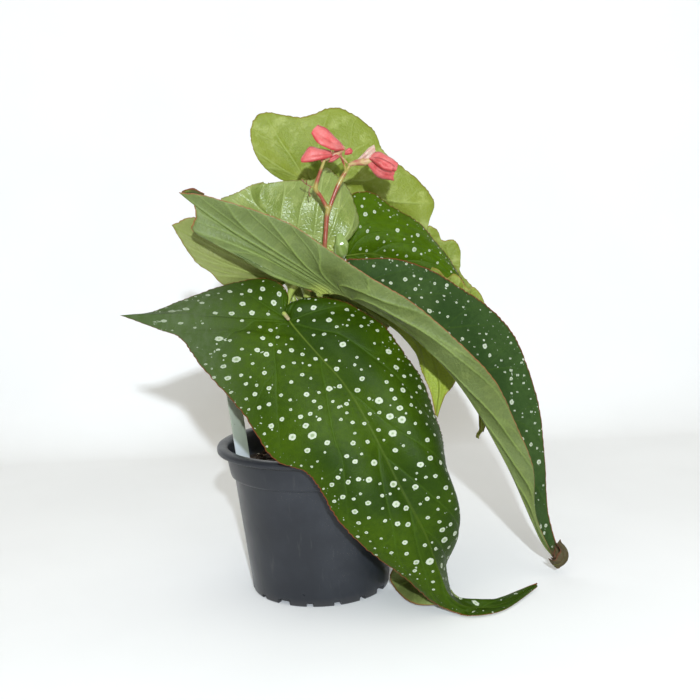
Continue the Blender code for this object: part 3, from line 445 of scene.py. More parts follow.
def blade_half(leaf, q, t, side, teeth):
    """Points of one half of a blade for columns of q and rows of t, with their vein facts."""
    last = len(leaf["feet"]) - 1
    name = "broad" if side < 0 else "narrow"
    corner = leaf["lobe_tip"]
    foot, foot_mm = along(leaf["midrib"], np.clip(cornered(leaf["feet"], q, corner), 0, 1))
    ahead, _ = along(leaf["midrib"], np.clip(cornered(leaf["feet"], q, corner) + 0.01, 0, 1))
    behind, _ = along(leaf["midrib"], np.clip(cornered(leaf["feet"], q, corner) - 0.01, 0, 1))
    edge = cornered(leaf[name + "_edge"], q, corner if side < 0 else None)
    reach = edge - foot
    length = np.linalg.norm(reach, axis=1)
    if teeth:
        jag = teeth * (np.sin(q * 23.1 + side) * np.sin(q * 9.7) + 0.5 * np.sin(q * 41.3 + 2 * side))
        jag = jag * smooth(length / 12) * np.sin(np.pi * np.clip(q / last, 0, 1)) ** 0.3
        reach = reach * (1 + jag / np.maximum(length, 4))[:, None]
    tangent = unit(ahead - behind)
    lean = np.clip((reach * tangent).sum(1) / np.maximum(length, 1e-6), -1, 1)
    faces = leaf[name + "_face"]
    face = spline(faces, q / last * (len(faces) - 1))
    face = unit(face - reach * ((face * reach).sum(1) / np.maximum(length, 1e-6) ** 2)[:, None])
    crowns = leaf[name + "_crown"]
    crown = spline(crowns, q / last * (len(crowns) - 1))
    wave = leaf["wave"] * np.sin(leaf["wave_turns"] * math.tau * q / last + side)
    lift = crown[:, None] * np.sin(np.pi * t) + wave[:, None] * t ** 3
    points = foot[:, None] + reach[:, None] * t[..., None] + face[:, None] * lift[..., None]
    flat = np.stack([foot_mm[:, None] + t * (length * lean)[:, None],
                     side * t * (length * np.sqrt(1 - lean ** 2))[:, None],
                     np.zeros((len(q), len(t[0])))], -1)
    return points, flat, length


def station_rows(leaf, step):
    """The stations between which rows are laid, closer where the blade's edge is longer."""
    last = len(leaf["feet"]) - 1
    out = [np.zeros(1)]
    for k in range(last):
        spans = [np.linalg.norm(np.subtract(leaf[edge][k + 1], leaf[edge][k]))
                 for edge in ("broad_edge", "narrow_edge")]
        count = int(np.clip(math.ceil(max(spans) / step), 3, 26))
        out.append(k + np.arange(1, count + 1) / count)
    return np.concatenate(out)


def blade_grid(leaf, step, columns, teeth):
    """The blade's middle surface on a grid, and what the looks need to know at each point."""
    last = len(leaf["feet"]) - 1
    q = station_rows(leaf, step)
    t = (np.arange(columns + 1) / columns) ** 1.12
    t = t[None, :].repeat(len(q), 0)
    broad, broad_flat, broad_length = blade_half(leaf, q, t, -1, teeth)
    narrow, narrow_flat, narrow_length = blade_half(leaf, q, t, 1, teeth)
    points = np.concatenate([broad[:, :0:-1], narrow], 1)
    flat = np.concatenate([broad_flat[:, :0:-1], narrow_flat], 1)
    across = np.concatenate([(t * broad_length[:, None])[:, :0:-1], t * narrow_length[:, None]], 1)
    inwards = 1 - t
    margin = np.concatenate([(inwards * broad_length[:, None])[:, :0:-1],
                             inwards * narrow_length[:, None]], 1)
    side = np.concatenate([-np.ones(columns), [0], np.ones(columns)])[None].repeat(len(q), 0)
    share = np.concatenate([t[:, :0:-1], t], 1)
    qq = q[:, None].repeat(points.shape[1], 1)
    phase = np.where(side < 0, vein_phase(qq, share, leaf["broad_veins"]),
                     vein_phase(qq, share, leaf["narrow_veins"]))
    # The distance between two veins, measured square to them
    one, two = np.gradient(points, axis=0), np.gradient(points, axis=1)
    d1, d2 = np.gradient(phase, axis=0), np.gradient(phase, axis=1)
    d2[:, columns] = 0.5 * (d2[:, columns - 1] + d2[:, columns + 1])
    e, f, g = (one * one).sum(-1), (one * two).sum(-1), (two * two).sum(-1)
    steep = (g * d1 * d1 - 2 * f * d1 * d2 + e * d2 * d2) / np.maximum(e * g - f * f, 1e-9)
    spacing = np.clip(1 / np.sqrt(np.maximum(steep, 1e-6)), 0.2, 60)
    return dict(points=points, flat=flat, across=across, margin=margin, share=share,
                phase=phase, spacing=spacing, q=qq / last, stretch=np.full(side.shape, 1.12),
                painted_sheen=np.zeros(side.shape), dry=np.zeros(side.shape), flip=False)


def vein_distance(grid):
    """How far each point is in mm from the next side vein and from the next fork of one."""
    t = grid["share"]
    off = grid["phase"] - np.round(grid["phase"])
    main = np.abs(off) * grid["spacing"]
    fork = np.abs(off + 0.5 * smooth((t - 0.38) / 0.62)) * grid["spacing"]
    return main, np.where((off < 0.05) & (t > 0.4), fork, 60.0)


def vein_height(grid, width):
    """1 on the crest of a side vein, falling to 0 beside it; veins fork towards the margin."""
    t = grid["share"]
    main, fork = vein_distance(grid)
    main, fork = (d + 1.2 * (1 - smooth((grid["spacing"] - 1) / 3)) for d in (main, fork))
    w = width * (1 - 0.5 * t)
    crest = np.exp(-(main / w) ** 2) * (1 - 0.4 * smooth((t - 0.5) / 0.5))
    side = np.exp(-(fork / (0.8 * w)) ** 2) * 0.6 * smooth((t - 0.4) / 0.15)
    return np.maximum(crest, side) * (1 - smooth((t - 0.92) / 0.08))


def scatter_spots(grid, seed, amount, size):
    """Where the larger spots are, their radii in mm and a draw for each: clear of the veins,
    the margin and each other."""
    rng = np.random.default_rng(seed)
    points = grid["points"]
    one, two = np.gradient(points, axis=0), np.gradient(points, axis=1)
    area = np.linalg.norm(np.cross(one, two), axis=-1).ravel()
    main, fork = vein_distance(grid)
    clear = np.minimum(np.minimum(main, fork), grid["across"] - 0.3).ravel()
    margin = grid["margin"].ravel()
    flat_points = points.reshape(-1, 3)
    stretch, painted_sheen = grid["stretch"].ravel(), grid["painted_sheen"].ravel()
    picks = rng.choice(len(area), SPOT_TRIES, p=area / area.sum())
    goal = int(amount * area.sum() / 1000)
    chosen, radii, draws = [], [], []
    for index, luck, draw in zip(picks, rng.random(len(picks)), rng.random(len(picks))):
        room = 0.62 + 0.38 * float(smooth(margin[index] / 14))
        r = size * (0.5 + 0.68 * luck + 0.42 * luck ** 7) * room * (1 - 0.4 * painted_sheen[index])
        if clear[index] < r + 0.5 or margin[index] < r + 0.7:
            continue
        if chosen:
            far = np.linalg.norm(flat_points[chosen] - flat_points[index], axis=1)
            gaps = far / np.sqrt(np.maximum(stretch[chosen], stretch[index])) - radii - r
            if gaps.min() < SPOT_GAP:
                continue
        chosen.append(index)
        radii.append(r)
        draws.append(draw)
        if len(chosen) >= goal:
            break
    return chosen, radii, draws


def spot_marks(points, along_vein, normal, spots, stretch):
    """For each point its place in the nearest spot, that spot's draw, and the spot's radius or
    NO_SPOT away from all spots. Spots are longer along the side veins."""
    best = np.full(len(points), 1e9)
    place, radius = np.zeros((len(points), 3)), np.full(len(points), NO_SPOT)
    for index, r, draw in zip(*spots):
        offset = points - points[index]
        one = along_vein[index]
        two = np.cross(normal[index], one)
        here = np.stack([offset @ one / stretch[index], offset @ two, np.full(len(points), draw)], -1)
        flat_away = np.hypot(here[:, 0], here[:, 1])
        away = np.hypot(flat_away, offset @ normal[index])
        here[:, :2] *= (away / np.maximum(flat_away, 1e-6))[:, None]
        gap = away - r
        near = gap < best
        best[near], place[near] = gap[near], here[near]
        radius[near] = np.where(gap[near] < SPOT_GAP / 2 - 0.2, r, NO_SPOT)
    return place, radius


def blade_mesh(name, grid, thickness, rib, vein, quilt, spots=((), (), ())):
    """A closed thin shell round the middle surface: its upper side has grooves where its
    under side has the raised veins."""
    points = grid["points"]
    rows, columns = points.shape[:2]
    normal = unit(np.cross(np.gradient(points, axis=1), np.gradient(points, axis=0)))
    if grid["flip"]:
        normal = -normal
    t = grid["share"]
    young = 1 - 0.75 * grid["q"]
    ribs = np.exp(-(grid["across"] / (rib[1] * young + 0.25)) ** 2) * young
    veins = vein_height(grid, vein[1])
    between = np.abs(np.sin(np.pi * grid["phase"])) * smooth(t / 0.2) * (1 - 0.8 * smooth((t - 0.75) / 0.25))
    size = np.clip(grid["spacing"] / 14, 0, 1)
    middle = points + normal * (quilt * (between - 0.4) * size)[..., None]
    half = thickness / 2 * (1 - (1 - RIM_SHARE) * smooth(1 - grid["margin"] / 2.5))
    half = np.maximum(half, LEAST_HALF)
    upper = middle + normal * (half - 0.3 * rib[0] * ribs - 0.35 * vein[0] * veins)[..., None]
    lower = middle - normal * (half + rib[0] * ribs + vein[0] * veins)[..., None]
    verts = np.concatenate([upper.reshape(-1, 3), lower.reshape(-1, 3)]) * MM
    index = np.arange(rows * columns).reshape(rows, columns)
    a, b, c, d = index[:-1, :-1], index[1:, :-1], index[1:, 1:], index[:-1, 1:]
    top = np.stack([a, d, c, b], -1).reshape(-1, 4)
    under = np.stack([a, b, c, d], -1).reshape(-1, 4) + rows * columns
    loop = np.concatenate([index[0, :], index[1:, -1], index[-1, -2::-1], index[-2:0:-1, 0]])
    after = np.roll(loop, -1)
    wall = np.stack([loop, loop + rows * columns, after + rows * columns, after], -1)
    faces = np.concatenate([top, under, wall])
    if grid["flip"]:
        faces = faces[:, ::-1]
    mesh = bpy.data.meshes.new(name)
    mesh.from_pydata(verts, [], faces.tolist())
    slots = np.concatenate([np.zeros(len(top)), np.ones(len(under)), np.ones(len(wall))]).astype(np.int32)
    mesh.polygons.foreach_set("material_index", slots)
    flat = grid["flat"].copy()
    # The third number of flat carries the share of painted sheen
    flat[..., 2] = grid["painted_sheen"]
    spot, radius = spot_marks(upper.reshape(-1, 3), unit(np.gradient(points, axis=1)).reshape(-1, 3),
                              normal.reshape(-1, 3), spots, grid["stretch"].ravel())
    facts = {
        "flat": flat,
        "vein": np.stack([grid["phase"], grid["spacing"], t], -1),
        "place": np.stack([grid["across"], grid["margin"], grid["q"]], -1),
        "spot": spot,
        "marks": np.stack([radius, grid["dry"].ravel(), np.zeros(len(radius))], -1),
    }
    for fact, values in facts.items():
        put_vectors(mesh, fact, np.concatenate([values.reshape(-1, 3)] * 2))
    mesh.shade_smooth()
    tidy_mesh(mesh)
    return mesh


def small_blade(name, shape, columns=12, thickness=0.4, crown=(0.4, 0.9, 0.2), face=(0, -1, 0), wave=0.25,
                dry=0.0, slot=0):
    """A thin blade given only by its middle line and its two edges, such as a petal."""
    last = len(shape["midrib"]) - 1
    veins = [(k,) * 4 for k in range(last + 1)]
    leaf = dict(shape, feet=[k / last for k in range(last + 1)], lobe_tip=None, wave=wave, wave_turns=2,
                broad_face=[face] * 2, narrow_face=[face] * 2, broad_crown=list(crown),
                narrow_crown=list(crown), broad_veins=veins, narrow_veins=veins)
    grid = blade_grid(leaf, 0.5, columns, 0.12)
    grid["dry"] = np.full(grid["share"].shape, dry)
    mesh = blade_mesh(name, grid, thickness, (0.15, 0.5), (0.06, 0.4), 0.1)
    mesh.polygons.foreach_set("material_index", np.full(len(mesh.polygons), slot, np.int32))
    return mesh


def joined(name, meshes):
    """One mesh of all the meshes, which go."""
    bm = bmesh.new()
    for mesh in meshes:
        bm.from_mesh(mesh)
        bpy.data.meshes.remove(mesh)
    out = mesh_from(bm, name)
    out.shade_smooth()
    return out


def mesh_from(bm, name, scale=1.0):
    """A mesh of the bmesh, which goes; a scale of MM turns mm into metres."""
    if scale != 1.0:
        bmesh.ops.scale(bm, vec=(scale, scale, scale), verts=bm.verts)
    mesh = bpy.data.meshes.new(name)
    bm.to_mesh(mesh)
    bm.free()
    return mesh


def put_vectors(mesh, name, values):
    """Stores one vector for each point of the mesh."""
    attribute = mesh.attributes.new(name, "FLOAT_VECTOR", "POINT")
    attribute.data.foreach_set("vector", np.ascontiguousarray(values, np.float32).ravel())


def tidy_mesh(mesh):
    """Welds points that coincide, drops faces without area and turns all faces outwards."""
    bm = bmesh.new()
    bm.from_mesh(mesh)
    bmesh.ops.remove_doubles(bm, verts=bm.verts, dist=0.002 * MM)
    bmesh.ops.dissolve_degenerate(bm, edges=bm.edges, dist=0.001 * MM)
    bmesh.ops.recalc_face_normals(bm, faces=bm.faces)
    bm.to_mesh(mesh)
    bm.free()


# Objects
def add_piece(name, mesh, looks, slot, *nodes):
    """An object that rides on the part, wears the looks and stands for the named nodes."""
    obj = bpy.data.objects.new(name, mesh)
    bpy.context.scene.collection.objects.link(obj)
    for look in looks:
        obj.data.materials.append(look)
    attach(obj, "root")
    if nodes:
        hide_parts(*nodes)


def applied(obj, name):
    """A new mesh that is the object with its modifiers applied; the object goes."""
    bpy.context.view_layer.update()
    graph = bpy.context.evaluated_depsgraph_get()
    mesh = bpy.data.meshes.new_from_object(obj.evaluated_get(graph))
    mesh.name = name
    bpy.data.objects.remove(obj, do_unlink=True)
    return mesh


def loose(name, mesh):
    """An object of the scene that isn't a piece, or not yet."""
    obj = bpy.data.objects.new(name, mesh)
    bpy.context.scene.collection.objects.link(obj)
    return obj


def frames_along(points):
    """Two directions across the path at each of its points, turned as little as possible."""
    tangent = unit(np.gradient(points, axis=0))
    first = np.cross(tangent[0], (0.0, 1.0, 0.0))
    if np.linalg.norm(first) < 0.2:
        first = np.cross(tangent[0], (1.0, 0.0, 0.0))
    out = [unit(first)]
    for k in range(1, len(points)):
        out.append(unit(out[-1] - tangent[k] * (out[-1] @ tangent[k])))
    first = np.array(out)
    return first, np.cross(tangent, first), tangent


def tube_into(bm, path, radii, sides=16, step=1.0, swell=None, flatten=1.0):
    """Adds a round rod with domed ends to the bmesh; lengths are mm."""
    path = np.asarray(path, float)
    length = np.linalg.norm(np.diff(path, axis=0), axis=1).sum()
    count = max(int(length / step), 4)
    q = np.linspace(0, len(path) - 1, count + 1)
    axis = spline(path, q)
    radius = spline(np.interp(q, np.linspace(0, len(path) - 1, len(radii)), radii), np.arange(len(q)))
    if swell:
        radius = radius + swell(q)
    one, two, ahead = frames_along(axis)
    rings, angles = [], np.arange(sides) * math.tau / sides
    caps = [(0, -0.87, 0.5), (0, -0.5, 0.87)] + [(k, 0, 1) for k in range(len(q))]
    caps += [(len(q) - 1, 0.5, 0.87), (len(q) - 1, 0.87, 0.5)]
    for k, push, scale in caps:
        centre = axis[k] + ahead[k] * radius[k] * push
        ring = centre + radius[k] * scale * (np.cos(angles)[:, None] * one[k]
                                              + flatten * np.sin(angles)[:, None] * two[k])
        rings.append([bm.verts.new(p) for p in ring])
    for low, high in zip(rings, rings[1:]):
        for i in range(sides):
            j = (i + 1) % sides
            bm.faces.new((low[i], low[j], high[j], high[i]))
    bm.faces.new(rings[0][::-1])
    bm.faces.new(rings[-1])


def welded(name, bm, voxel, rounds=2):
    """One skin round all the closed forms in the bmesh, with soft fillets where they meet."""
    bmesh.ops.recalc_face_normals(bm, faces=bm.faces)
    obj = loose(name, mesh_from(bm, name, MM))
    skin = obj.modifiers.new("skin", "REMESH")
    skin.mode = "VOXEL"
    skin.voxel_size = voxel * MM
    soft = obj.modifiers.new("soften", "SMOOTH")
    soft.factor = 0.5
    soft.iterations = rounds
    mesh = applied(obj, name)
    mesh.shade_smooth()
    return mesh


# Materials
class Look:
    """A material under construction: short names for the nodes that it is made of."""

    def __init__(self, name):
        self.material = bpy.data.materials.new(name)
        self.material.use_nodes = True
        self.tree = self.material.node_tree
        self.shader = self.tree.nodes["Principled BSDF"]
        self.output = self.tree.nodes["Material Output"]

    def node(self, kind, inputs=(), **settings):
        made = self.tree.nodes.new(kind)
        for key, value in settings.items():
            setattr(made, key, value)
        for key, value in dict(inputs).items():
            self.feed(made.inputs[key], value)
        return made

    def feed(self, socket, value):
        if isinstance(value, bpy.types.NodeSocket):
            self.tree.links.new(value, socket)
        elif isinstance(value, tuple) and socket.type == "RGBA":
            socket.default_value = (*value[:3], 1.0)
        else:
            socket.default_value = value

    def math(self, operation, a, b=0.0, c=0.0):
        made = self.node("ShaderNodeMath", operation=operation)
        self.feed(made.inputs[0], a)
        self.feed(made.inputs[1], b)
        self.feed(made.inputs[2], c)
        return made.outputs[0]

    def times(self, a, b):
        return self.math("MULTIPLY", a, b)

    def mix(self, share, a, b):
        made = self.node("ShaderNodeMix", data_type="RGBA")
        self.feed(made.inputs[0], share)
        self.feed(made.inputs[6], a)
        self.feed(made.inputs[7], b)
        return made.outputs[2]

    def fade(self, value, start, end, low=0.0, high=1.0):
        """low where the value is at start and high where it is at end, smoothly between."""
        made = self.node("ShaderNodeMapRange", interpolation_type="SMOOTHSTEP")
        for socket, given in zip(("Value", "From Min", "From Max", "To Min", "To Max"),
                                 (value, start, end, low, high)):
            self.feed(made.inputs[socket], given)
        return made.outputs[0]

    def noise(self, place, scale, detail=3.0, rough=0.5):
        made = self.node("ShaderNodeTexNoise", {"Vector": place, "Scale": scale, "Detail": detail,
                                                "Roughness": rough})
        return made.outputs["Fac"]

    def cells(self, place, scale, flat=False, feature="F1", loose=1.0):
        return self.node("ShaderNodeTexVoronoi", {"Vector": place, "Scale": scale, "Randomness": loose},
                         voronoi_dimensions="2D" if flat else "3D", feature=feature)

    def draw(self, net, channel=0):
        """The random number that each cell of a net has."""
        return self.node("ShaderNodeSeparateColor", {"Color": net.outputs["Color"]}).outputs[channel]

    def attribute(self, name):
        read = self.node("ShaderNodeAttribute", attribute_name=name)
        split = self.node("ShaderNodeSeparateXYZ", {"Vector": read.outputs["Vector"]})
        return read.outputs["Vector"], split.outputs[0], split.outputs[1], split.outputs[2]

    def place(self):
        """The point's place on the part, in metres."""
        return self.node("ShaderNodeTexCoord").outputs["Object"]

    def near(self, place, point, start, end):
        """1 within the start distance of a point given in mm, falling to 0 at the end distance."""
        spot = tuple(c * MM for c in point)
        away = self.node("ShaderNodeVectorMath", {0: place, 1: spot}, operation="DISTANCE").outputs["Value"]
        return self.fade(away, start, end, 1.0, 0.0)

    def split(self, vector):
        return self.node("ShaderNodeSeparateXYZ", {"Vector": vector}).outputs

    def bump(self, height, strength, distance, below=None):
        made = self.node("ShaderNodeBump", {"Strength": strength, "Distance": distance, "Height": height})
        if below is not None:
            self.feed(made.inputs["Normal"], below)
        return made.outputs[0]

    def set(self, **inputs):
        for key, value in inputs.items():
            self.feed(self.shader.inputs[key.replace("_", " ")], value)

    def glow_through(self, share, colour):
        """Lets light through from the other side, in the given colour."""
        through = self.node("ShaderNodeBsdfTranslucent", {"Color": colour})
        both = self.node("ShaderNodeMixShader")
        both.inputs[0].default_value = share
        self.tree.links.new(self.shader.outputs[0], both.inputs[1])
        self.tree.links.new(through.outputs[0], both.inputs[2])
        self.tree.links.new(both.outputs[0], self.output.inputs["Surface"])


def vein_lines(look, width, strength, rib_end=0.4):
    """The lines of the side veins and of the midrib, each from 0 to 1."""
    _, phase, spacing, t = look.attribute("vein")
    _, across, margin, q = look.attribute("place")
    off = look.math("WRAP", phase, 0.5, -0.5)
    near = look.times(look.math("ABSOLUTE", off), spacing)
    bend = look.fade(t, 0.38, 1.0, 0.0, 0.5)
    forked = look.times(look.math("ABSOLUTE", look.math("ADD", off, bend)), spacing)
    main = look.times(look.fade(near, width * 0.2, width, 1.0, 0.0), look.fade(t, 0.4, 1.0, 1.0, 0.3))
    side = look.times(look.fade(forked, width * 0.1, width * 0.65, 1.0, 0.0),
                      look.fade(t, 0.38, 0.5, 0.0, 0.5))
    side = look.times(side, look.math("LESS_THAN", off, 0.05))
    crowded = look.fade(spacing, 1.5, 4.5, 0.25 * strength, strength)
    lines = look.times(look.math("MAXIMUM", main, side), crowded)
    rib = look.times(look.fade(across, width * 0.25, width * 0.9, 1.0, 0.0),
                     look.fade(q, 0.12, 0.6, 1.0, rib_end))
    return lines, rib, margin, q


def spotted_upper(name, dark, light, spot_colour, shade, vein_colour, rib_colour):
    """The glossy upper side: two greens, sunken veins, white eyed spots and a red margin."""
    look = Look(name)
    flat, _, y, painted_sheen = look.attribute("flat")
    lines, rib, margin, _ = vein_lines(look, 0.9, 0.55, 0.15)
    _, spot_u, spot_v, draw = look.attribute("spot")
    _, radius, dry, _ = look.attribute("marks")
    broad = look.noise(flat, 0.02, 2.0)
    green = look.mix(look.fade(broad, 0.35, 0.65), dark, light)
    green = look.mix(look.fade(margin, 1.0, 14.0, 0.35, 0.0), green, light)
    fine = look.noise(flat, 0.3, 4.0, 0.6)
    green = look.mix(look.fade(fine, 0.35, 0.75, 0.0, 0.4), green, tuple(c * 0.55 for c in dark))
    green = look.mix(look.times(lines, 0.5), green, vein_colour)
    green = look.mix(look.times(rib, 0.9), green, rib_colour)
    green = look.mix(look.fade(y, -20.0, -70.0, 0.0, 0.5), green, light)
    # Painted sheen: where its share is high, on the left lobe of the front leaf, the green is painted a paler
    # grey-green, standing in for the sheen that the lobe reflects
    bloom = look.times(painted_sheen, look.fade(fine, 0.3, 0.7, 0.45, 0.85))
    green = look.mix(bloom, green, (0.095, 0.13, 0.06))
    wobble = look.node("ShaderNodeTexNoise", {"Vector": flat, "Scale": 0.8, "Detail": 2.0})
    uneven = look.times(look.math("SUBTRACT", wobble.outputs["Fac"], 0.5), 0.9)
    away = look.math("SQRT", look.math("ADD", look.times(spot_u, spot_u), look.times(spot_v, spot_v)))
    edge = look.math("SUBTRACT", look.math("ADD", away, uneven), radius)
    mask = look.fade(edge, -0.16, 0.1, 1.0, 0.0)
    inner = look.math("DIVIDE", away, look.math("MAXIMUM", radius, 0.2))
    eye_start, eye_end = look.fade(draw, 0.0, 1.0, 0.0, 0.3), look.fade(draw, 0.0, 1.0, 0.5, 0.72)
    eye = look.fade(inner, eye_start, eye_end, 1.0, 0.0)
    shift = look.node("ShaderNodeVectorMath", operation="MULTIPLY_ADD")
    look.feed(shift.inputs[0], wobble.outputs["Color"])
    shift.inputs[1].default_value = (0.0006, 0.0006, 0.0006)
    look.feed(shift.inputs[2], look.place())
    small = small_spots(look, shift.outputs[0], 4.2, 0.4, 0.7, 0.66, margin)
    tiny = small_spots(look, shift.outputs[0], 2.0, 0.16, 0.3, 0.85, margin)
    small = look.math("MAXIMUM", small, look.times(tiny, 0.6))
    small = look.times(small, look.fade(look.math("MAXIMUM", lines, rib), 0.05, 0.3, 1.0, 0.0))
    small = look.times(small, look.fade(edge, 0.5, 1.2, 0.0, 1.0))
    spot = look.mix(look.times(eye, 0.85), spot_colour, (0.19, 0.26, 0.11))
    pale = look.noise(flat, 1.6, 2.0)
    spot = look.mix(look.fade(pale, 0.35, 0.8, 0.0, 0.35), spot, look.mix(0.4, spot_colour, light))
    # Spots within the painted sheen are painted greyer as well
    spot = look.mix(look.times(painted_sheen, 0.55), spot, (0.2, 0.25, 0.15))
    mask = look.math("MAXIMUM", mask, small)
    colour = look.mix(mask, green, spot)
    edge_red = look.fade(margin, 0.3, 0.85, 0.85, 0.0)
    colour = look.mix(edge_red, colour, (0.26, 0.05, 0.025))
    colour = withered(look, colour, dry, fine)
    skin = look.noise(flat, 3.4, 3.0, 0.65)
    rough = look.fade(skin, 0.25, 0.75, shade - 0.07, shade + 0.1)
    rough = look.math("ADD", rough, look.times(mask, 0.1))
    look.set(Base_Color=colour, Roughness=rough)
    look.set(Specular_IOR_Level=0.1)
    pimples = look.cells(flat, 1.25, flat=True).outputs["Distance"]
    grain = look.bump(pimples, 0.32, 0.0004)
    grain = look.bump(skin, 0.3, 0.0004, grain)
    relief = look.math("SUBTRACT", look.times(mask, 0.3), look.math("ADD", lines, rib))
    look.set(Normal=look.bump(relief, 0.6, 0.0005, grain))
    look.glow_through(0.14, look.mix(mask, (0.16, 0.36, 0.012), (0.5, 0.6, 0.3)))
    return look.material


def withered(look, colour, dry, fine):
    """The colour turned brown where the blade has dried."""
    return look.mix(look.times(dry, look.fade(fine, 0.2, 0.6, 0.7, 1.0)), colour, (0.1, 0.06, 0.035))


def small_spots(look, place, cell, least, most, empty, margin):
    """Small round dots in the cells of a net, more of them near the margin."""
    net = look.cells(place, 1000.0 / cell, loose=0.9)
    near = look.times(net.outputs["Distance"], cell)
    size = look.fade(look.draw(net), 0.0, 1.0, least, most)
    bar = look.fade(margin, 2.0, 16.0, empty - 0.38, empty + 0.1)
    there = look.math("GREATER_THAN", look.draw(net, 1), bar)
    mask = look.fade(look.math("SUBTRACT", near, size), -0.12, 0.1, 1.0, 0.0)
    return look.times(mask, there)


def veined_under(name, base, deep, vein_colour, gloss, through, glow, red=0.7, shine=0.3,
                 patchy=0.15, tip=None):
    """The satin under side with raised pale veins and a fine net between them."""
    look = Look(name)
    flat, _, _, _ = look.attribute("flat")
    lines, rib, margin, q = vein_lines(look, 1.15, 0.9)
    _, _, dry, _ = look.attribute("marks")
    broad = look.noise(flat, 0.03, 3.0)
    colour = look.mix(look.fade(broad, 0.3, 0.7), base, deep)
    patches = look.noise(flat, 0.11, 4.0, 0.6)
    light = look.mix(0.3, vein_colour, (0.6, 0.62, 0.2))
    colour = look.mix(look.fade(patches, 0.48, 0.66, 0.0, patchy), colour, light)
    # Painted light: towards its tip the blade is painted the given tip colour, a brighter green, standing in
    # for light that falls on that end
    if tip:
        colour = look.mix(look.fade(q, 0.6, 0.85), colour, tip)
    net = look.cells(flat, 0.42, flat=True, feature="DISTANCE_TO_EDGE")
    mesh = look.fade(net.outputs["Distance"], 0.02, 0.16, 0.3, 0.0)
    colour = look.mix(mesh, colour, look.mix(0.5, deep, vein_colour))
    fine = look.noise(flat, 0.9, 4.0, 0.65)
    colour = look.mix(look.fade(fine, 0.35, 0.8, 0.0, 0.25), colour, tuple(c * 0.6 for c in deep))
    colour = look.mix(look.times(lines, 0.75), colour, vein_colour)
    crest = look.mix(0.3, vein_colour, (0.55, 0.55, 0.12))
    colour = look.mix(look.times(rib, 0.95), colour, crest)
    for path in PETIOLES:
        knot = look.near(look.place(), path[-1], 0.002, 0.012)
        colour = look.mix(look.times(knot, 0.8), colour, (0.42, 0.48, 0.1))
    colour = look.mix(look.fade(margin, 0.3, 1.0, red, 0.0), colour, (0.35, 0.08, 0.04))
    colour = withered(look, colour, dry, fine)
    skin = look.noise(flat, 2.6, 3.0, 0.6)
    look.set(Base_Color=colour, Roughness=look.fade(skin, 0.2, 0.8, gloss - 0.06, gloss + 0.08))
    look.set(Specular_IOR_Level=shine)
    low = look.bump(skin, 0.25, 0.0004)
    low = look.bump(look.math("MAXIMUM", lines, rib), 0.6, 0.0005, low)
    look.set(Normal=look.bump(look.fade(net.outputs["Distance"], 0.0, 0.25), 0.3, 0.0004, low))
    look.glow_through(through, glow)
    return look.material


# Settings
class PotLooks(bpy.types.PropertyGroup):
    colour: FloatVectorProperty(name="Plastic", description="Colour of the moulded pot", subtype="COLOR",
                                default=(0.0135, 0.0155, 0.0202))
    sides: IntProperty(name="Sides", description="How finely the pot is turned", default=176, min=48)


class LeafLooks(bpy.types.PropertyGroup):
    dark: FloatVectorProperty(name="Dark green", description="Older leaves, upper side", subtype="COLOR",
                              default=(0.019, 0.045, 0.001))
    light: FloatVectorProperty(name="Light green", description="Where the upper side catches light",
                               subtype="COLOR", default=(0.042, 0.083, 0.001))
    spot: FloatVectorProperty(name="Spots", description="Colour of the spots", subtype="COLOR",
                              default=(0.52, 0.57, 0.44))
    thickness: FloatProperty(name="Thickness", description="Thickness of a blade in mm", default=0.55)


class StemLooks(bpy.types.PropertyGroup):
    green: FloatVectorProperty(name="Green", description="Young cane and leaf stalks", subtype="COLOR",
                               default=(0.2, 0.3, 0.05))
    brown: FloatVectorProperty(name="Brown", description="Old cane near the soil", subtype="COLOR",
                               default=(0.16, 0.1, 0.04))


class BloomLooks(bpy.types.PropertyGroup):
    petal: FloatVectorProperty(name="Petal", description="Coral of the petals", subtype="COLOR",
                               default=(0.62, 0.085, 0.085))
    stalk: FloatVectorProperty(name="Stalk", description="Red of the flower stalk", subtype="COLOR",
                               default=(0.3, 0.06, 0.032))


class StudioLooks(bpy.types.PropertyGroup):
    flash: FloatProperty(name="Flash", description="Power of the lamp above the camera", default=11.5,
                         subtype="POWER", unit="POWER")
    room: FloatProperty(name="Room", description="Brightness of the light from all round", default=0.31)
    ceiling: FloatProperty(name="Ceiling", description="Power of the wide panel overhead", default=12.0,
                           subtype="POWER", unit="POWER")


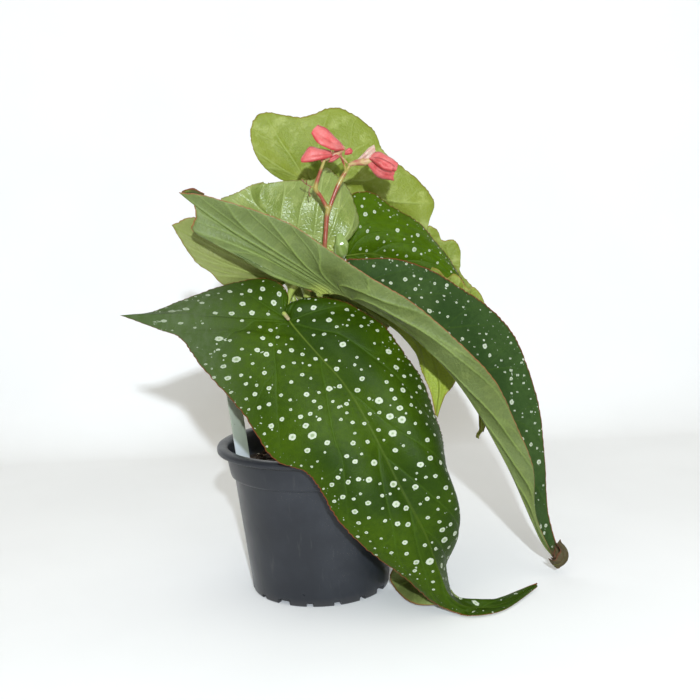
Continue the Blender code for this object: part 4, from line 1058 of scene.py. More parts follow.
# Pieces
class BEGONIA_OT_pot(bpy.types.Operator):
    """Turn the pot, with its notched foot and drain holes"""

    bl_idname = "begonia.pot"
    bl_label = "Pot"

    def execute(self, context):
        looks = context.scene.begonia_pot
        sides = looks.sides
        bm = bmesh.new()
        rings = []
        for r, z in POT_PROFILE[:-1]:
            if r == 0:
                rings.append([bm.verts.new((0, 0, z * MM))])
                continue
            turn = [math.tau * k / sides for k in range(sides)]
            rings.append([bm.verts.new((r * MM * math.cos(a), r * MM * math.sin(a), z * MM)) for a in turn])
        rings.append(rings[0])
        for low, high in zip(rings, rings[1:]):
            for k in range(sides):
                j = (k + 1) % sides
                if len(low) == 1 and len(high) == 1:
                    continue
                if len(high) == 1:
                    bm.faces.new((low[k], high[0], low[j]))
                elif len(low) == 1:
                    bm.faces.new((low[0], high[k], high[j]))
                else:
                    bm.faces.new((low[k], high[k], high[j], low[j]))
        bmesh.ops.recalc_face_normals(bm, faces=bm.faces)
        pot = loose("pot_turned", mesh_from(bm, "pot_turned"))
        cutter = loose("pot_cutters", self.cutters())
        cut = pot.modifiers.new("cut", "BOOLEAN")
        cut.operation = "DIFFERENCE"
        cut.solver = "EXACT"
        cut.object = cutter
        mesh = applied(pot, "pot_body")
        bpy.data.objects.remove(cutter, do_unlink=True)
        mesh.shade_smooth()
        mesh.set_sharp_from_angle(angle=math.radians(50))
        add_piece("pot_body", mesh, [self.plastic(looks)], "pot_plastic", "pot")
        return {"FINISHED"}

    def cutters(self):
        """Wide and narrow notches in the foot ring, and the drain holes, with softened edges."""
        bm = bmesh.new()
        for i in range(NOTCHES):
            width, height = (4.2, 2.4) if i % 4 else (8.5, 3.2)
            turn = NOTCH_TURN - math.tau * i / NOTCHES
            place = Matrix.Rotation(turn, 4, "Z") @ Matrix.Translation((FOOT_RADIUS - FOOT_WIDTH / 2, 0, 0))
            made = bmesh.ops.create_cube(bm, size=1, matrix=place @ Matrix.Diagonal(
                (FOOT_WIDTH * 3, width, height * 2, 1)))
            top = [e for e in {e for v in made["verts"] for e in v.link_edges}
                   if min(v.co.z for v in e.verts) > 0 and abs(
                       (e.verts[0].co - e.verts[1].co).normalized().dot(place.col[0].xyz.normalized())) > 0.9]
            bmesh.ops.bevel(bm, geom=top, offset=0.55, segments=3, affect="EDGES", profile=0.5)
        for i in range(DRAIN_HOLES):
            turn = math.tau * (i + 0.5) / DRAIN_HOLES
            place = Matrix.Translation((27 * math.cos(turn), 27 * math.sin(turn), 3.8))
            bmesh.ops.create_cone(bm, cap_ends=True, segments=32, radius1=3.4, radius2=3.4, depth=5,
                                  matrix=place)
        return mesh_from(bm, "pot_cutters", MM)

    def plastic(self, looks):
        look = Look("pot_plastic")
        place = look.place()
        z = look.split(place)[2]
        base = tuple(looks.colour)
        cloudy = look.noise(place, 28.0, 4.0, 0.6)
        colour = look.mix(look.fade(cloudy, 0.4, 0.75, 0.0, 0.6), base, tuple(c * 1.7 + 0.006 for c in base))
        stretch = look.node("ShaderNodeMapping", {"Vector": place, "Scale": (1.0, 1.0, 0.12)})
        streak = look.noise(stretch.outputs[0], 240.0, 3.0, 0.6)
        dust = look.fade(streak, 0.6, 0.78, 0.0, 0.22)
        colour = look.mix(dust, colour, (0.13, 0.125, 0.115))
        specks = look.cells(place, 900.0).outputs["Distance"]
        crumbs = look.times(look.fade(specks, 0.1, 0.2, 1.0, 0.0), look.fade(cloudy, 0.55, 0.7))
        colour = look.mix(look.times(crumbs, 0.5), colour, (0.16, 0.13, 0.1))
        foot = look.fade(z, 0.0, 0.006, 0.35, 0.0)
        colour = look.mix(foot, colour, (0.07, 0.065, 0.06))
        rough = look.fade(cloudy, 0.3, 0.7, 0.27, 0.42)
        rough = look.math("ADD", rough, look.times(dust, 0.5))
        look.set(Base_Color=colour, Roughness=rough, Specular_IOR_Level=0.4)
        waves = look.noise(place, 55.0, 2.0)
        soft = look.bump(waves, 0.25, 0.0012)
        pores = look.noise(place, 1500.0, 2.0)
        scratches = look.bump(streak, 0.12, 0.0002, soft)
        look.set(Normal=look.bump(pores, 0.16, 0.00015, scratches))
        return look.material


class BEGONIA_OT_soil(bpy.types.Operator):
    """Fill the pot with peat, its loose crumbs and perlite grains"""

    bl_idname = "begonia.soil"
    bl_label = "Soil"

    def execute(self, context):
        rng = np.random.default_rng(7)
        self.add_bed()
        self.add_crumbs("peat_crumbs", 360, (0.7, 2.1), self.peat("peat_crumbs"), rng, 0.45)
        self.add_crumbs("perlite_grains", 46, (0.6, 1.5), self.perlite(), rng, 0.2)
        self.add_fibres(rng)
        return {"FINISHED"}

    def height(self, x, y):
        """Height of the peat's surface in mm."""
        r = np.hypot(x, y)
        mound = np.interp(r, (0, 16, 34, 48, 50.2), (SOIL_MIDDLE_HEIGHT, SOIL_MIDDLE_HEIGHT - 0.8,
                                                    SOIL_MIDDLE_HEIGHT - 2.4, 76.4, SOIL_EDGE_HEIGHT))
        lumps = 0.9 * np.sin(x * 0.31 + 1.3 * np.sin(y * 0.23)) * np.sin(y * 0.37 + 0.8 * np.sin(x * 0.19))
        lumps += 0.5 * np.sin(x * 0.9 + 2 * np.sin(y * 0.41)) * np.sin(y * 0.83 + 1.5 * np.sin(x * 0.47))
        lumps += 0.22 * np.sin(x * 2.3 + 3 * np.sin(y * 1.3)) * np.sin(y * 2.6 + 2 * np.sin(x * 1.1))
        return mound + lumps * (1 - smooth((r - 46) / 4)) - 0.3

    def add_bed(self):
        sides, rows = 132, 66
        bm = bmesh.new()
        centre = bm.verts.new((0, 0, self.height(0.0, 0.0)))
        rings = []
        for k in range(1, rows + 1):
            r = SOIL_RADIUS * k / rows
            ring = []
            for i in range(sides):
                a = math.tau * (i + 0.5 * (k % 2)) / sides
                x, y = r * math.cos(a), r * math.sin(a)
                ring.append(bm.verts.new((x, y, self.height(x, y))))
            rings.append(ring)
        angles = [math.tau * i / sides for i in range(sides)]
        for r, z in ((48.0, 71.0), (40.0, 6.0), (38.6, 5.0)):
            rings.append([bm.verts.new((r * math.cos(a), r * math.sin(a), z)) for a in angles])
        for i in range(sides):
            bm.faces.new((centre, rings[0][i], rings[0][(i + 1) % sides]))
        for low, high in zip(rings, rings[1:]):
            for i in range(sides):
                j = (i + 1) % sides
                bm.faces.new((low[i], high[i], high[j], low[j]))
        bm.faces.new(rings[-1])
        bmesh.ops.triangulate(bm, faces=bm.faces)
        bmesh.ops.recalc_face_normals(bm, faces=bm.faces)
        bed = loose("soil_bed_raw", mesh_from(bm, "soil_bed", MM))
        hole = bmesh.new()
        x, y, foot = CANE_PATH[0]
        bmesh.ops.create_cone(hole, cap_ends=True, segments=40, radius1=CANE_HOLE_RADIUS,
                              radius2=CANE_HOLE_RADIUS, depth=50,
                              matrix=Matrix.Translation((x, y, foot + 24.7)))
        cutters = [loose("soil_hole", mesh_from(hole, "soil_hole", MM)),
                   loose("soil_slot", label_mesh("soil_slot", 0.3))]
        for cutter in cutters:
            cut = bed.modifiers.new(cutter.name, "BOOLEAN")
            cut.operation = "DIFFERENCE"
            cut.solver = "EXACT"
            cut.object = cutter
        mesh = applied(bed, "soil_bed")
        for cutter in cutters:
            bpy.data.objects.remove(cutter, do_unlink=True)
        mesh.shade_smooth()
        mesh.set_sharp_from_angle(angle=math.radians(60))
        add_piece("soil_bed", mesh, [self.peat("peat_bed")], "soil", "soil")

    def near_stems(self, x, y, cane_gap, label_gap):
        """Whether the place is nearer to the cane or to the label than the gaps, in mm."""
        return (math.hypot(x - CANE_AT_SOIL[0], y - CANE_AT_SOIL[1]) < cane_gap
                or math.hypot(x - LABEL_AT_SOIL[0], y - LABEL_AT_SOIL[1]) < label_gap)

    def add_crumbs(self, name, count, sizes, look, rng, sink):
        """Lumps strewn on the peat, none of them on the cane or the label."""
        bm = bmesh.new()
        made = 0
        while made < count:
            r, a = 47.5 * math.sqrt(rng.random()), rng.random() * math.tau
            x, y = r * math.cos(a), r * math.sin(a)
            size = sizes[0] + (sizes[1] - sizes[0]) * rng.random() ** 2
            turn = Matrix.Rotation(rng.random() * 6.3, 4, (rng.random(), rng.random(), 0.5 + rng.random()))
            stretch = Matrix.Diagonal((1 + 0.5 * rng.random(), 1 + 0.3 * rng.random(),
                                       0.7 + 0.3 * rng.random(), 1))
            dents = rng.normal(0, 0.13, 42)
            if self.near_stems(x, y, 8.2, 12):
                continue
            made += 1
            lump = bmesh.ops.create_icosphere(bm, subdivisions=2, radius=size)
            for v, dent in zip(lump["verts"], dents):
                v.co *= 1 + dent
            place = Matrix.Translation((x, y, float(self.height(x, y)) + size * sink))
            bmesh.ops.transform(bm, matrix=place @ turn @ stretch, verts=lump["verts"])
        mesh = mesh_from(bm, name, MM)
        mesh.shade_smooth()
        add_piece(name, mesh, [look], "soil")

    def add_fibres(self, rng):
        """Root fibres that lie on the peat."""
        bm = bmesh.new()
        made = 0
        while made < 34:
            r, a, turn = 43 * math.sqrt(rng.random()), rng.random() * math.tau, rng.random() * math.tau
            x, y = r * math.cos(a), r * math.sin(a)
            long, thick = 2.5 + 4.5 * rng.random(), 0.18 + 0.3 * rng.random() ** 2
            if self.near_stems(x, y, 10, 14):
                continue
            made += 1
            path = []
            for k in range(4):
                px = x + math.cos(turn) * long * (k / 3 - 0.5) + 0.3 * math.sin(k * 2 + made)
                py = y + math.sin(turn) * long * (k / 3 - 0.5)
                path.append((px, py, float(self.height(px, py)) + thick * 0.9 + 0.15))
            tube_into(bm, path, [thick * 0.6, thick, thick, thick * 0.4], sides=8, step=0.8)
        mesh = mesh_from(bm, "root_fibres", MM)
        mesh.shade_smooth()
        look = Look("root_fibre")
        grain = look.noise(look.place(), 900.0, 3.0)
        look.set(Base_Color=look.mix(look.fade(grain, 0.3, 0.7), (0.11, 0.06, 0.03), (0.28, 0.18, 0.1)),
                 Roughness=look.fade(grain, 0.2, 0.8, 0.6, 0.85))
        look.set(Normal=look.bump(grain, 0.4, 0.0002))
        add_piece("root_fibres", mesh, [look.material], "soil")

    def peat(self, name):
        look = Look(name)
        place = look.place()
        patches = look.noise(place, 130.0, 4.0, 0.6)
        grain = look.noise(place, 900.0, 5.0, 0.7)
        colour = look.mix(look.fade(patches, 0.3, 0.7), (0.012, 0.008, 0.005), (0.045, 0.027, 0.016))
        colour = look.mix(look.fade(grain, 0.5, 0.75, 0.0, 0.5), colour, (0.09, 0.055, 0.03))
        look.set(Base_Color=colour, Roughness=look.fade(patches, 0.3, 0.7, 0.95, 0.75),
                 Specular_IOR_Level=0.3)
        low = look.bump(patches, 0.5, 0.002)
        look.set(Normal=look.bump(grain, 0.8, 0.0009, low))
        return look.material

    def perlite(self):
        look = Look("perlite")
        place = look.place()
        pits = look.cells(place, 2600.0).outputs["Distance"]
        stain = look.noise(place, 500.0, 3.0)
        colour = look.mix(look.fade(stain, 0.45, 0.75, 0.0, 0.7), (0.72, 0.7, 0.66), (0.3, 0.22, 0.15))
        look.set(Base_Color=colour, Roughness=look.fade(stain, 0.3, 0.7, 0.8, 0.95))
        look.set(Normal=look.bump(pits, 0.6, 0.0003))
        return look.material


def label_mesh(name, grow):
    """The plant label with rounded top corners, or with grow the slot that it stands in."""
    half, depth = LABEL_HALF_WIDTH + grow, LABEL_HALF_THICKNESS + grow
    bottom = -grow * math.hypot(LABEL_POINT, LABEL_HALF_WIDTH) / LABEL_HALF_WIDTH
    outline = [(0, bottom), (half, LABEL_POINT + bottom)]
    for side, turn in ((1, 0), (-1, 1)):
        for k in range(9):
            a = math.pi / 2 * (turn + k / 8)
            outline.append((side * (half - LABEL_CORNER) + LABEL_CORNER * math.cos(a),
                            LABEL_LENGTH - LABEL_CORNER + LABEL_CORNER * math.sin(a)))
    outline.append((-half, LABEL_POINT + bottom))
    up = Vector(LABEL_UP).normalized()
    across = Vector(LABEL_ACROSS)
    across = (across - up * across.dot(up)).normalized()
    front = across.cross(up)
    bm = bmesh.new()
    face = bm.faces.new([bm.verts.new((x, -depth, z)) for x, z in outline])
    deep = bmesh.ops.extrude_face_region(bm, geom=[face])
    moved = [item for item in deep["geom"] if isinstance(item, bmesh.types.BMVert)]
    bmesh.ops.translate(bm, vec=(0, 2 * depth, 0), verts=moved)
    bmesh.ops.recalc_face_normals(bm, faces=bm.faces)
    if not grow:
        bmesh.ops.bevel(bm, geom=[e for e in bm.edges if abs(e.verts[0].co.y - e.verts[1].co.y) < 0.1],
                        offset=0.16, segments=2, affect="EDGES", profile=0.5)
    for v in bm.verts:
        v.co = (Vector(LABEL_TIP) + across * v.co.x - front * v.co.y + up * v.co.z) * MM
    return mesh_from(bm, name)


class BEGONIA_OT_label(bpy.types.Operator):
    """Cut the bare white plant label"""

    bl_idname = "begonia.label"
    bl_label = "Label"

    def execute(self, context):
        mesh = label_mesh("label_plate", 0)
        mesh.shade_smooth()
        mesh.set_sharp_from_angle(angle=math.radians(40))
        look = Look("label_plastic")
        place = look.place()
        x, _, z = look.split(place)
        smear = look.noise(place, 90.0, 4.0, 0.6)
        colour = look.mix(look.fade(smear, 0.4, 0.8, 0.0, 0.35), (0.74, 0.78, 0.8), (0.6, 0.62, 0.55))
        # Painted shadow: above a slanting line the label's upper part is darkened to olive, standing in for
        # the shade that the front leaf casts on it
        painted_shadow_slant = look.math("ADD", look.times(look.math("ADD", x, 0.0517), 0.845),
                          look.times(look.math("SUBTRACT", z, 0.1003), 0.535))
        colour = look.mix(look.fade(painted_shadow_slant, -0.0008, 0.0014, 0.0, 0.7), colour, (0.19, 0.22, 0.1))
        specks = look.cells(place, 420.0)
        dot = look.times(look.fade(specks.outputs["Distance"], 0.08, 0.14, 1.0, 0.0),
                         look.math("GREATER_THAN", look.draw(specks), 0.82))
        colour = look.mix(look.times(dot, 0.85), colour, (0.03, 0.03, 0.02))
        colour = look.mix(look.fade(z, 0.074, 0.083, 0.75, 0.0), colour, (0.09, 0.06, 0.035))
        look.set(Base_Color=colour, Roughness=look.fade(smear, 0.3, 0.7, 0.32, 0.5))
        look.set(Normal=look.bump(look.noise(place, 1300.0, 2.0), 0.12, 0.0001))
        look.glow_through(0.12, (0.7, 0.75, 0.7))
        add_piece("label_plate", mesh, [look.material], "label_plastic", "plant_label")
        return {"FINISHED"}


class BEGONIA_OT_cane(bpy.types.Operator):
    """Grow the cane with its ringed nodes and the leaf stalks"""

    bl_idname = "begonia.cane"
    bl_label = "Cane and leaf stalks"

    def execute(self, context):
        looks = context.scene.begonia_stems
        bm = bmesh.new()
        tube_into(bm, CANE_PATH, CANE_RADII, sides=28, step=0.8, swell=self.swelling)
        for path in PETIOLES:
            tube_into(bm, path, PETIOLE_RADII, sides=20, step=0.8)
            end, before = np.array(path[-1]), np.array(path[-2])
            back = unit(before - end)
            tube_into(bm, [end + back * 5, end + back * 2, end + back * 0.2], [1.1, 1.6, 2.3], sides=20,
                      step=0.5)
        tube_into(bm, CALLUS, CALLUS_RADII, sides=16, step=0.4)
        mesh = welded("cane_and_stalks", bm, 0.42)
        add_piece("cane_and_stalks", mesh, [self.skin(looks)], "cane", "cane")
        return {"FINISHED"}

    def swelling(self, q):
        out = np.zeros_like(q)
        for node in CANE_NODES:
            out += NODE_SWELLING * np.exp(-((q - node) / NODE_LENGTH) ** 2)
            out -= 0.25 * np.exp(-((q - node - 0.03) / 0.025) ** 2)
        return out

    def skin(self, looks):
        look = Look("cane_skin")
        place = look.place()
        z = look.split(place)[2]
        wander = look.noise(place, 60.0, 3.0)
        height = look.math("ADD", z, look.times(look.math("SUBTRACT", wander, 0.5), 0.04))
        green, brown = tuple(looks.green), tuple(looks.brown)
        colour = look.mix(look.fade(height, 0.09, 0.16), brown, green)
        stretch = look.node("ShaderNodeMapping", {"Vector": place, "Scale": (1.0, 1.0, 0.1)})
        fibre = look.noise(stretch.outputs[0], 700.0, 3.0, 0.6)
        colour = look.mix(look.fade(fibre, 0.4, 0.75, 0.0, 0.4), colour, tuple(c * 0.5 for c in green))
        blush = look.noise(place, 35.0, 2.0)
        colour = look.mix(look.fade(blush, 0.5, 0.7, 0.0, 0.35), colour, (0.3, 0.1, 0.05))
        squash = look.node("ShaderNodeMapping", {"Vector": place, "Scale": (1.0, 1.0, 0.55)})
        pores = look.cells(squash.outputs[0], 420.0)
        dots = look.times(look.fade(pores.outputs["Distance"], 0.12, 0.2, 1.0, 0.0),
                          look.math("GREATER_THAN", look.draw(pores), 0.5))
        colour = look.mix(look.times(dots, 0.7), colour, (0.5, 0.48, 0.3))
        for path in PETIOLES:
            colour = look.mix(look.near(place, path[-1], 0.004, 0.024), colour, (0.38, 0.45, 0.1))
        colour = look.mix(look.near(place, CALLUS[-1], 0.0015, 0.005), colour, (0.33, 0.27, 0.14))
        look.set(Base_Color=colour, Roughness=look.fade(fibre, 0.2, 0.8, 0.3, 0.5), Specular_IOR_Level=0.5)
        low = look.bump(fibre, 0.25, 0.0003)
        look.set(Normal=look.bump(dots, 0.4, 0.0003, low))
        look.glow_through(0.12, (0.4, 0.5, 0.08))
        return look.material


class BEGONIA_OT_leaves(bpy.types.Operator):
    """Grow the six open leaves"""

    bl_idname = "begonia.leaves"
    bl_label = "Leaves"

    def execute(self, context):
        looks = context.scene.begonia_leaves
        dark, light, spot = tuple(looks.dark), tuple(looks.light), tuple(looks.spot)
        fresh = tuple(min(c * 1.6, 1.0) for c in light)
        vein, rib = (0.06, 0.12, 0.01), (0.16, 0.22, 0.03)
        upper = spotted_upper("leaf_upper_old", dark, light, spot, 0.4, vein, rib)
        upper_blue = spotted_upper("leaf_upper_shaded", (0.026, 0.058, 0.013), (0.046, 0.088, 0.021),
                                   spot, 0.42, vein, rib)
        upper_young = spotted_upper("leaf_upper_young", light, fresh, spot, 0.36, vein, rib)
        pale = spotted_upper("leaf_upper_pale", fresh, (0.15, 0.24, 0.02), (0.5, 0.56, 0.34), 0.36,
                             (0.22, 0.3, 0.07), (0.3, 0.38, 0.08))
        olive = veined_under("leaf_under_olive", (0.26, 0.31, 0.1), (0.19, 0.24, 0.06), (0.33, 0.4, 0.11),
                             0.48, 0.22, (0.36, 0.46, 0.06))
        grey = veined_under("leaf_under_grey", (0.145, 0.19, 0.06), (0.1, 0.135, 0.032), (0.2, 0.27, 0.06),
                            0.46, 0.12, (0.24, 0.32, 0.04))
        # The lower tip of the leaf behind gets painted light: a brighter yellow-green
        dusky = veined_under("leaf_under_dusky", (0.25, 0.275, 0.085), (0.2, 0.23, 0.05), (0.3, 0.36, 0.09),
                             0.46, 0.25, (0.4, 0.46, 0.04), 0.5, tip=(0.42, 0.52, 0.05))
        yellow = veined_under("leaf_under_yellow", (0.29, 0.34, 0.045), (0.23, 0.29, 0.03), (0.36, 0.43, 0.1),
                              0.46, 0.28, (0.5, 0.58, 0.04), 0.4, patchy=0.8)
        glossy = veined_under("leaf_under_young", (0.32, 0.4, 0.11), (0.21, 0.28, 0.05), (0.37, 0.46, 0.14),
                              0.3, 0.22, (0.42, 0.52, 0.06), 0.3, 0.8, patchy=0.5)
        plan = [
            ("leaf_front", LEAF_1, "leaf_1", 1.15, 44, (upper, olive), "leaf_upper", (15.5, 1.26), 0.7),
            ("leaf_gutter", LEAF_2, "leaf_2", 1.2, 38, (upper_blue, grey), "leaf_under", (13.0, 1.12), 1.5),
            ("leaf_behind", LEAF_3, "leaf_3", 1.4, 32, (pale, dusky), "leaf_under", (4.0, 1.2), 0.9),
            ("leaf_young", LEAF_4, "leaf_4", 1.0, 30, (pale, glossy), "leaf_young", (4.0, 0.9), 0.9),
            ("leaf_high", LEAF_5, "leaf_5", 1.4, 34, (pale, yellow), "leaf_young", (4.0, 1.2), 1.0),
            ("leaf_bright", LEAF_6, "leaf_6", 1.1, 32, (upper_young, yellow), "leaf_upper", (17.0, 1.0), 0.8),
        ]
        forms = self.small_forms()
        for number, (name, leaf, node, step, columns, pair, slot, spots, quilt) in enumerate(plan):
            grid = blade_grid(leaf, step, columns, 0.35)
            grid["flip"] = self.upside_down(leaf, grid)
            if leaf is LEAF_2:
                grid["dry"] = smooth((grid["q"] - 0.972) / 0.02)
            if leaf is LEAF_1:
                lobe = smooth((-25 - grid["points"][..., 0]) / 45)
                tail = smooth((grid["points"][..., 0] - 70) / 20) * smooth((30 - grid["points"][..., 2]) / 20)
                # The left lobe gets a painted sheen, and longer spots on it and on the tail
                grid["painted_sheen"] = lobe
                grid["stretch"] = 1.22 + 1.1 * np.maximum(lobe, tail)
            scattered = scatter_spots(grid, FIRST_SPOT_SEED + number, *spots)
            big = 0.4 if leaf is LEAF_4 else 1.0 if number < 2 else 0.7
            mesh = blade_mesh(name, grid, looks.thickness, (1.1 * big, 1.5 * big), (0.5 * big, 1.25), quilt,
                              scattered)
            if name in forms:
                mesh = joined(name, [mesh] + forms[name])
            add_piece(name, mesh, pair, slot, node)
        return {"FINISHED"}

    def small_forms(self):
        """The dried tip, curled lobe, ruffled hem and hooked tip, by the leaf that carries them."""
        tip = [small_blade("dried_tip", shape, 12, 0.5, (0.6, 2.2, 0.4), wave=1.5, dry=0.75)
               for shape in DRIED_TIP]
        curl = small_blade("curled_lobe", CURLED_LOBE, 10, 0.4, (-0.8, -1.2, -0.4), (0, 0.4, 0.9), dry=0.3)
        hem = small_blade("leaf_hem", LEAF_6_HEM, 14, 0.45, (0.6, 1.2, 0.6), wave=0.9, slot=1)
        hook = small_blade("leaf_hook", LEAF_5_HOOK, 8, 0.45, slot=1)
        return {"leaf_gutter": tip + [curl], "leaf_bright": [hem], "leaf_high": [hook]}

    def upside_down(self, leaf, grid):
        """Whether the grid's own normal looks away from the leaf's upper side."""
        points = grid["points"]
        normal = np.cross(np.gradient(points, axis=1), np.gradient(points, axis=0))
        middle = points.shape[1] // 2
        q = grid["q"][:, 0]
        faces = leaf["broad_face"]
        wanted = spline(faces, q * (len(faces) - 1))
        return float((normal[:, middle // 2] * wanted).sum()) < 0


class BEGONIA_OT_folded_leaf(bpy.types.Operator):
    """Form the young leaf that is still folded up"""

    bl_idname = "begonia.folded_leaf"
    bl_label = "Folded leaf"

    def execute(self, context):
        bm = bmesh.new()
        tube_into(bm, FOLDED_LEAF, FOLDED_LEAF_RADII, sides=28, step=0.35, flatten=0.8)
        mesh = welded("folded_leaf_bud", bm, 0.22, 1)
        look = Look("folded_leaf")
        place = look.place()
        tilt = look.node("ShaderNodeMapping", {"Vector": place, "Rotation": (0.5, 0.2, 0.3)})
        folds = look.node("ShaderNodeTexWave", {"Vector": tilt.outputs[0], "Scale": 70.0, "Distortion": 2.5,
                                                "Detail": 2.0}, bands_direction="X").outputs["Fac"]
        mottle = look.noise(place, 300.0, 3.0)
        colour = look.mix(look.fade(folds, 0.3, 0.8), (0.24, 0.34, 0.08), (0.32, 0.42, 0.13))
        colour = look.mix(look.fade(mottle, 0.5, 0.75, 0.0, 0.4), colour, (0.16, 0.24, 0.05))
        look.set(Base_Color=colour, Roughness=look.fade(mottle, 0.2, 0.8, 0.16, 0.26), Specular_IOR_Level=0.8)
        look.set(Normal=look.bump(folds, 0.35, 0.0006))
        look.glow_through(0.2, (0.5, 0.62, 0.1))
        add_piece("folded_leaf_bud", mesh, [look.material], "leaf_young", "folded_leaf")
        return {"FINISHED"}


class BEGONIA_OT_flowers(bpy.types.Operator):
    """Grow the flower stalk and its two blooms"""

    bl_idname = "begonia.flowers"
    bl_label = "Flowers"

    def execute(self, context):
        looks = context.scene.begonia_blooms
        bm = bmesh.new()
        tube_into(bm, STALK, STALK_RADII, sides=20, step=0.6)
        for path, radii in BRANCHES:
            tube_into(bm, path, radii, sides=16, step=0.5)
        mesh = welded("flower_stalk_red", bm, 0.26)
        add_piece("flower_stalk_red", mesh, [self.stalk(looks)], "flower_stalk", "flower_stalk")
        petal, core, wing = self.petal(looks), self.core(), self.wing()
        for name in PETALS:
            self.add_bloom(name, petal, core, wing)
        return {"FINISHED"}

    def add_bloom(self, name, petal, core, wing):
        """One bloom: thin cupped petals and pale wings on a short core."""
        blades = [small_blade(name + "_petal", shape, 14) for shape in PETALS[name]]
        blades += [small_blade(name + "_wing", shape, 14, slot=2) for shape in PALE_WINGS[name]]
        bm = bmesh.new()
        for path, radii in CORES[name]:
            tube_into(bm, path, radii, sides=20, step=0.3)
        heart = welded(name + "_core", bm, 0.2)
        heart.polygons.foreach_set("material_index", np.ones(len(heart.polygons), np.int32))
        mesh = joined(name, blades + [heart])
        node = "flower_left" if name == "bloom_left" else "flower_right"
        add_piece(name, mesh, [petal, core, wing], "petal", node)

    def petal(self, looks):
        look = Look("petal")
        place = look.place()
        _, _, margin, _ = look.attribute("place")
        coral = tuple(looks.petal)
        patches = look.noise(place, 180.0, 3.0)
        colour = look.mix(look.fade(patches, 0.3, 0.7), coral, (0.72, 0.2, 0.19))
        streak = look.noise(place, 900.0, 3.0, 0.7)
        colour = look.mix(look.fade(streak, 0.45, 0.75, 0.0, 0.35), colour, (0.8, 0.36, 0.33))
        colour = look.mix(look.fade(margin, 0.15, 1.5, 0.85, 0.0), colour, (0.42, 0.012, 0.016))
        look.set(Base_Color=colour, Roughness=look.fade(streak, 0.2, 0.8, 0.35, 0.55))
        look.set(Sheen_Weight=0.15)
        look.set(Normal=look.bump(streak, 0.3, 0.0003))
        look.glow_through(0.25, (0.8, 0.16, 0.14))
        return look.material

    def wing(self):
        look = Look("pale_wing")
        place = look.place()
        _, _, margin, _ = look.attribute("place")
        patches = look.noise(place, 400.0, 3.0)
        colour = look.mix(look.fade(patches, 0.3, 0.7), (0.62, 0.36, 0.3), (0.7, 0.56, 0.46))
        colour = look.mix(look.fade(margin, 0.2, 0.8, 0.6, 0.0), colour, (0.75, 0.66, 0.6))
        look.set(Base_Color=colour, Roughness=look.fade(patches, 0.2, 0.8, 0.25, 0.4))
        look.set(Normal=look.bump(patches, 0.3, 0.0004))
        look.glow_through(0.35, (0.8, 0.6, 0.5))
        return look.material

    def core(self):
        look = Look("bloom_core")
        place = look.place()
        patches = look.noise(place, 260.0, 3.0)
        colour = look.mix(look.fade(patches, 0.35, 0.65), (0.42, 0.13, 0.09), (0.5, 0.36, 0.16))
        look.set(Base_Color=colour, Roughness=look.fade(patches, 0.2, 0.8, 0.35, 0.5))
        look.set(Normal=look.bump(patches, 0.3, 0.0005))
        look.glow_through(0.15, (0.8, 0.4, 0.2))
        return look.material

    def stalk(self, looks):
        look = Look("flower_stalk")
        place = look.place()
        wander = look.noise(place, 150.0, 3.0)
        fine = look.noise(place, 1200.0, 3.0)
        red = tuple(looks.stalk)
        colour = look.mix(look.fade(wander, 0.45, 0.7), red, (0.36, 0.13, 0.06))
        x, _, z = look.split(place)
        colour = look.mix(look.fade(z, 0.212, 0.204, 0.0, 0.5), colour, (0.3, 0.26, 0.07))
        for joint in STALK_JOINTS:
            share = look.times(look.near(place, joint, 0.0015, 0.0048), 0.85)
            colour = look.mix(share, colour, (0.36, 0.34, 0.08))
        dead = look.times(look.fade(x, 0.0042, 0.003), look.math("GREATER_THAN", z, 0.23))
        colour = look.mix(dead, colour, (0.22, 0.1, 0.04))
        look.set(Base_Color=colour, Roughness=look.fade(fine, 0.2, 0.8, 0.25, 0.42), Specular_IOR_Level=0.5)
        look.set(Normal=look.bump(fine, 0.25, 0.0002))
        look.glow_through(0.1, (0.7, 0.2, 0.1))
        return look.material


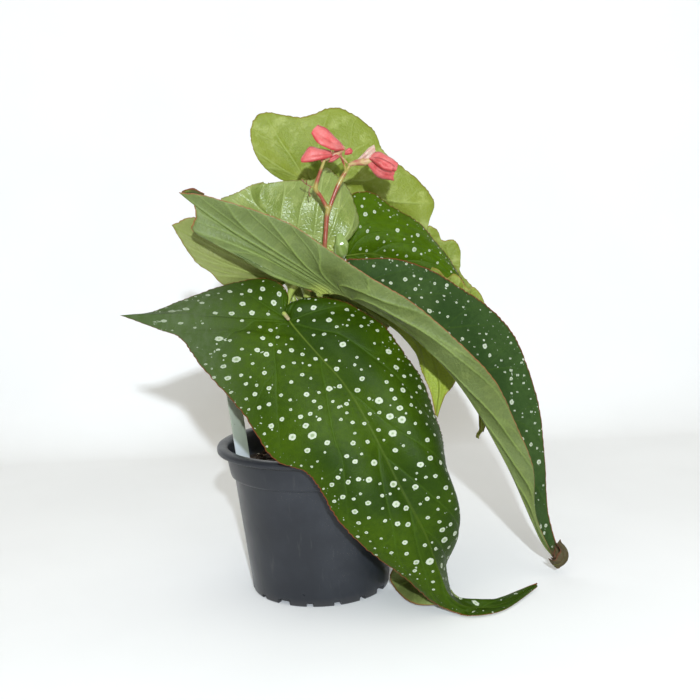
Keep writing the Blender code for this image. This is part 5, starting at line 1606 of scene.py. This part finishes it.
class BEGONIA_OT_studio(bpy.types.Operator):
    """Set up the pale floor, the lamps and the camera"""

    bl_idname = "begonia.studio"
    bl_label = "Studio"

    def execute(self, context):
        looks = context.scene.begonia_studio
        self.add_floor()
        self.add_camera(context)
        self.add_lamp("flash", FLASH_PLACE, FLASH_TARGET, FLASH_SIZE, looks.flash, (0.84, 0.92, 1.0))
        self.add_lamp("ceiling", CEILING_PLACE, CEILING_TARGET, CEILING_SIZE, looks.ceiling,
                      (1.0, 0.98, 0.92))
        world = bpy.data.worlds.new("room")
        world.use_nodes = True
        sky = world.node_tree.nodes["Background"]
        sky.inputs["Color"].default_value = (1.0, 0.95, 0.8, 1)
        sky.inputs["Strength"].default_value = looks.room
        context.scene.world = world
        context.scene.view_settings.view_transform = "Standard"
        return {"FINISHED"}

    def add_floor(self):
        """Paper that lies under the pot and sweeps up well behind it, clear when seen from behind."""
        outline = [(PAPER_FRONT, 0.0), (SWEEP_START, 0.0)]
        for k in range(1, SWEEP_STEPS + 1):
            a = math.pi / 2 * k / SWEEP_STEPS
            outline.append((SWEEP_START + SWEEP_RADIUS * math.sin(a), SWEEP_RADIUS * (1 - math.cos(a))))
        back = SWEEP_START + SWEEP_RADIUS
        outline += [(back, PAPER_TOP / 3), (back, PAPER_TOP)]
        verts = [(x, y, z - 0.0001) for y, z in outline for x in (-PAPER_HALF_WIDTH, PAPER_HALF_WIDTH)]
        faces = [(2 * k, 2 * k + 1, 2 * k + 3, 2 * k + 2) for k in range(len(outline) - 1)]
        mesh = bpy.data.meshes.new("paper")
        mesh.from_pydata(verts, [], faces)
        mesh.shade_smooth()
        look = Look("paper")
        tone = look.noise(look.place(), 6.0, 3.0)
        look.set(Base_Color=look.mix(look.fade(tone, 0.3, 0.7), (0.87, 0.87, 0.873), (0.9, 0.9, 0.903)),
                 Roughness=look.fade(tone, 0.3, 0.7, 0.75, 0.9), Specular_IOR_Level=0.2)
        clear = look.node("ShaderNodeMixShader")
        look.feed(clear.inputs[0], look.node("ShaderNodeNewGeometry").outputs["Backfacing"])
        look.feed(clear.inputs[1], look.shader.outputs[0])
        look.feed(clear.inputs[2], look.node("ShaderNodeBsdfTransparent").outputs[0])
        look.feed(look.output.inputs["Surface"], clear.outputs[0])
        floor = loose("paper", mesh)
        mesh.materials.append(look.material)

    def add_camera(self, context):
        tilt, yaw, roll = (math.radians(turn) for turn in (CAMERA_TILT, CAMERA_YAW, CAMERA_ROLL))
        ahead = Vector((math.sin(yaw) * math.cos(tilt), math.cos(yaw) * math.cos(tilt), -math.sin(tilt)))
        level = Vector((math.cos(yaw), -math.sin(yaw), 0))
        upright = level.cross(ahead)
        right = level * math.cos(roll) + upright * math.sin(roll)
        up = -level * math.sin(roll) + upright * math.cos(roll)
        data = bpy.data.cameras.new("camera")
        data.sensor_width = SENSOR_MM
        data.lens = FOCAL_PIXELS / FRAME_PIXELS * SENSOR_MM
        data.clip_start = 0.01
        camera = loose("camera", data)
        turned = Matrix((right, up, -ahead)).transposed().to_4x4()
        camera.matrix_world = Matrix.Translation(CAMERA_PLACE) @ turned
        context.scene.camera = camera

    def add_lamp(self, name, place, target, size, power, colour):
        data = bpy.data.lights.new(name, "AREA")
        data.size = size
        data.energy = power
        data.color = colour
        lamp = loose(name, data)
        ahead = (Vector(target) - Vector(place)).normalized()
        lamp.matrix_world = Matrix.Translation(place) @ ahead.to_track_quat("-Z", "Y").to_matrix().to_4x4()


class BEGONIA_PT_panel(bpy.types.Panel):
    """Lists what the begonia is made of"""

    bl_idname = "BEGONIA_PT_panel"
    bl_label = "Potted begonia"
    bl_space_type = "VIEW_3D"
    bl_region_type = "UI"
    bl_category = "Begonia"

    def draw(self, context):
        for group in GROUPS:
            settings = getattr(context.scene, group)
            box = self.layout.box()
            for key in settings.bl_rna.properties.keys():
                if key not in ("rna_type", "name"):
                    box.prop(settings, key)
        for step in STEPS:
            self.layout.operator(step.bl_idname)


GROUPS = {
    "begonia_pot": PotLooks,
    "begonia_leaves": LeafLooks,
    "begonia_stems": StemLooks,
    "begonia_blooms": BloomLooks,
    "begonia_studio": StudioLooks,
}
STEPS = (
    BEGONIA_OT_pot,
    BEGONIA_OT_soil,
    BEGONIA_OT_label,
    BEGONIA_OT_cane,
    BEGONIA_OT_leaves,
    BEGONIA_OT_folded_leaf,
    BEGONIA_OT_flowers,
    BEGONIA_OT_studio,
)


def register():
    for group in GROUPS.values():
        bpy.utils.register_class(group)
    for step in STEPS:
        bpy.utils.register_class(step)
    bpy.utils.register_class(BEGONIA_PT_panel)
    for name, group in GROUPS.items():
        setattr(bpy.types.Scene, name, PointerProperty(type=group))


def unregister():
    for name in GROUPS:
        delattr(bpy.types.Scene, name)
    bpy.utils.unregister_class(BEGONIA_PT_panel)
    for step in reversed(STEPS):
        bpy.utils.unregister_class(step)
    for group in reversed(list(GROUPS.values())):
        bpy.utils.unregister_class(group)


def main():
    register()
    for step in STEPS:
        group, call = step.bl_idname.split(".")
        getattr(getattr(bpy.ops, group), call)()
    bpy.context.view_layer.update()
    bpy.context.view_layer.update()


if __name__ == "__main__":
    main()
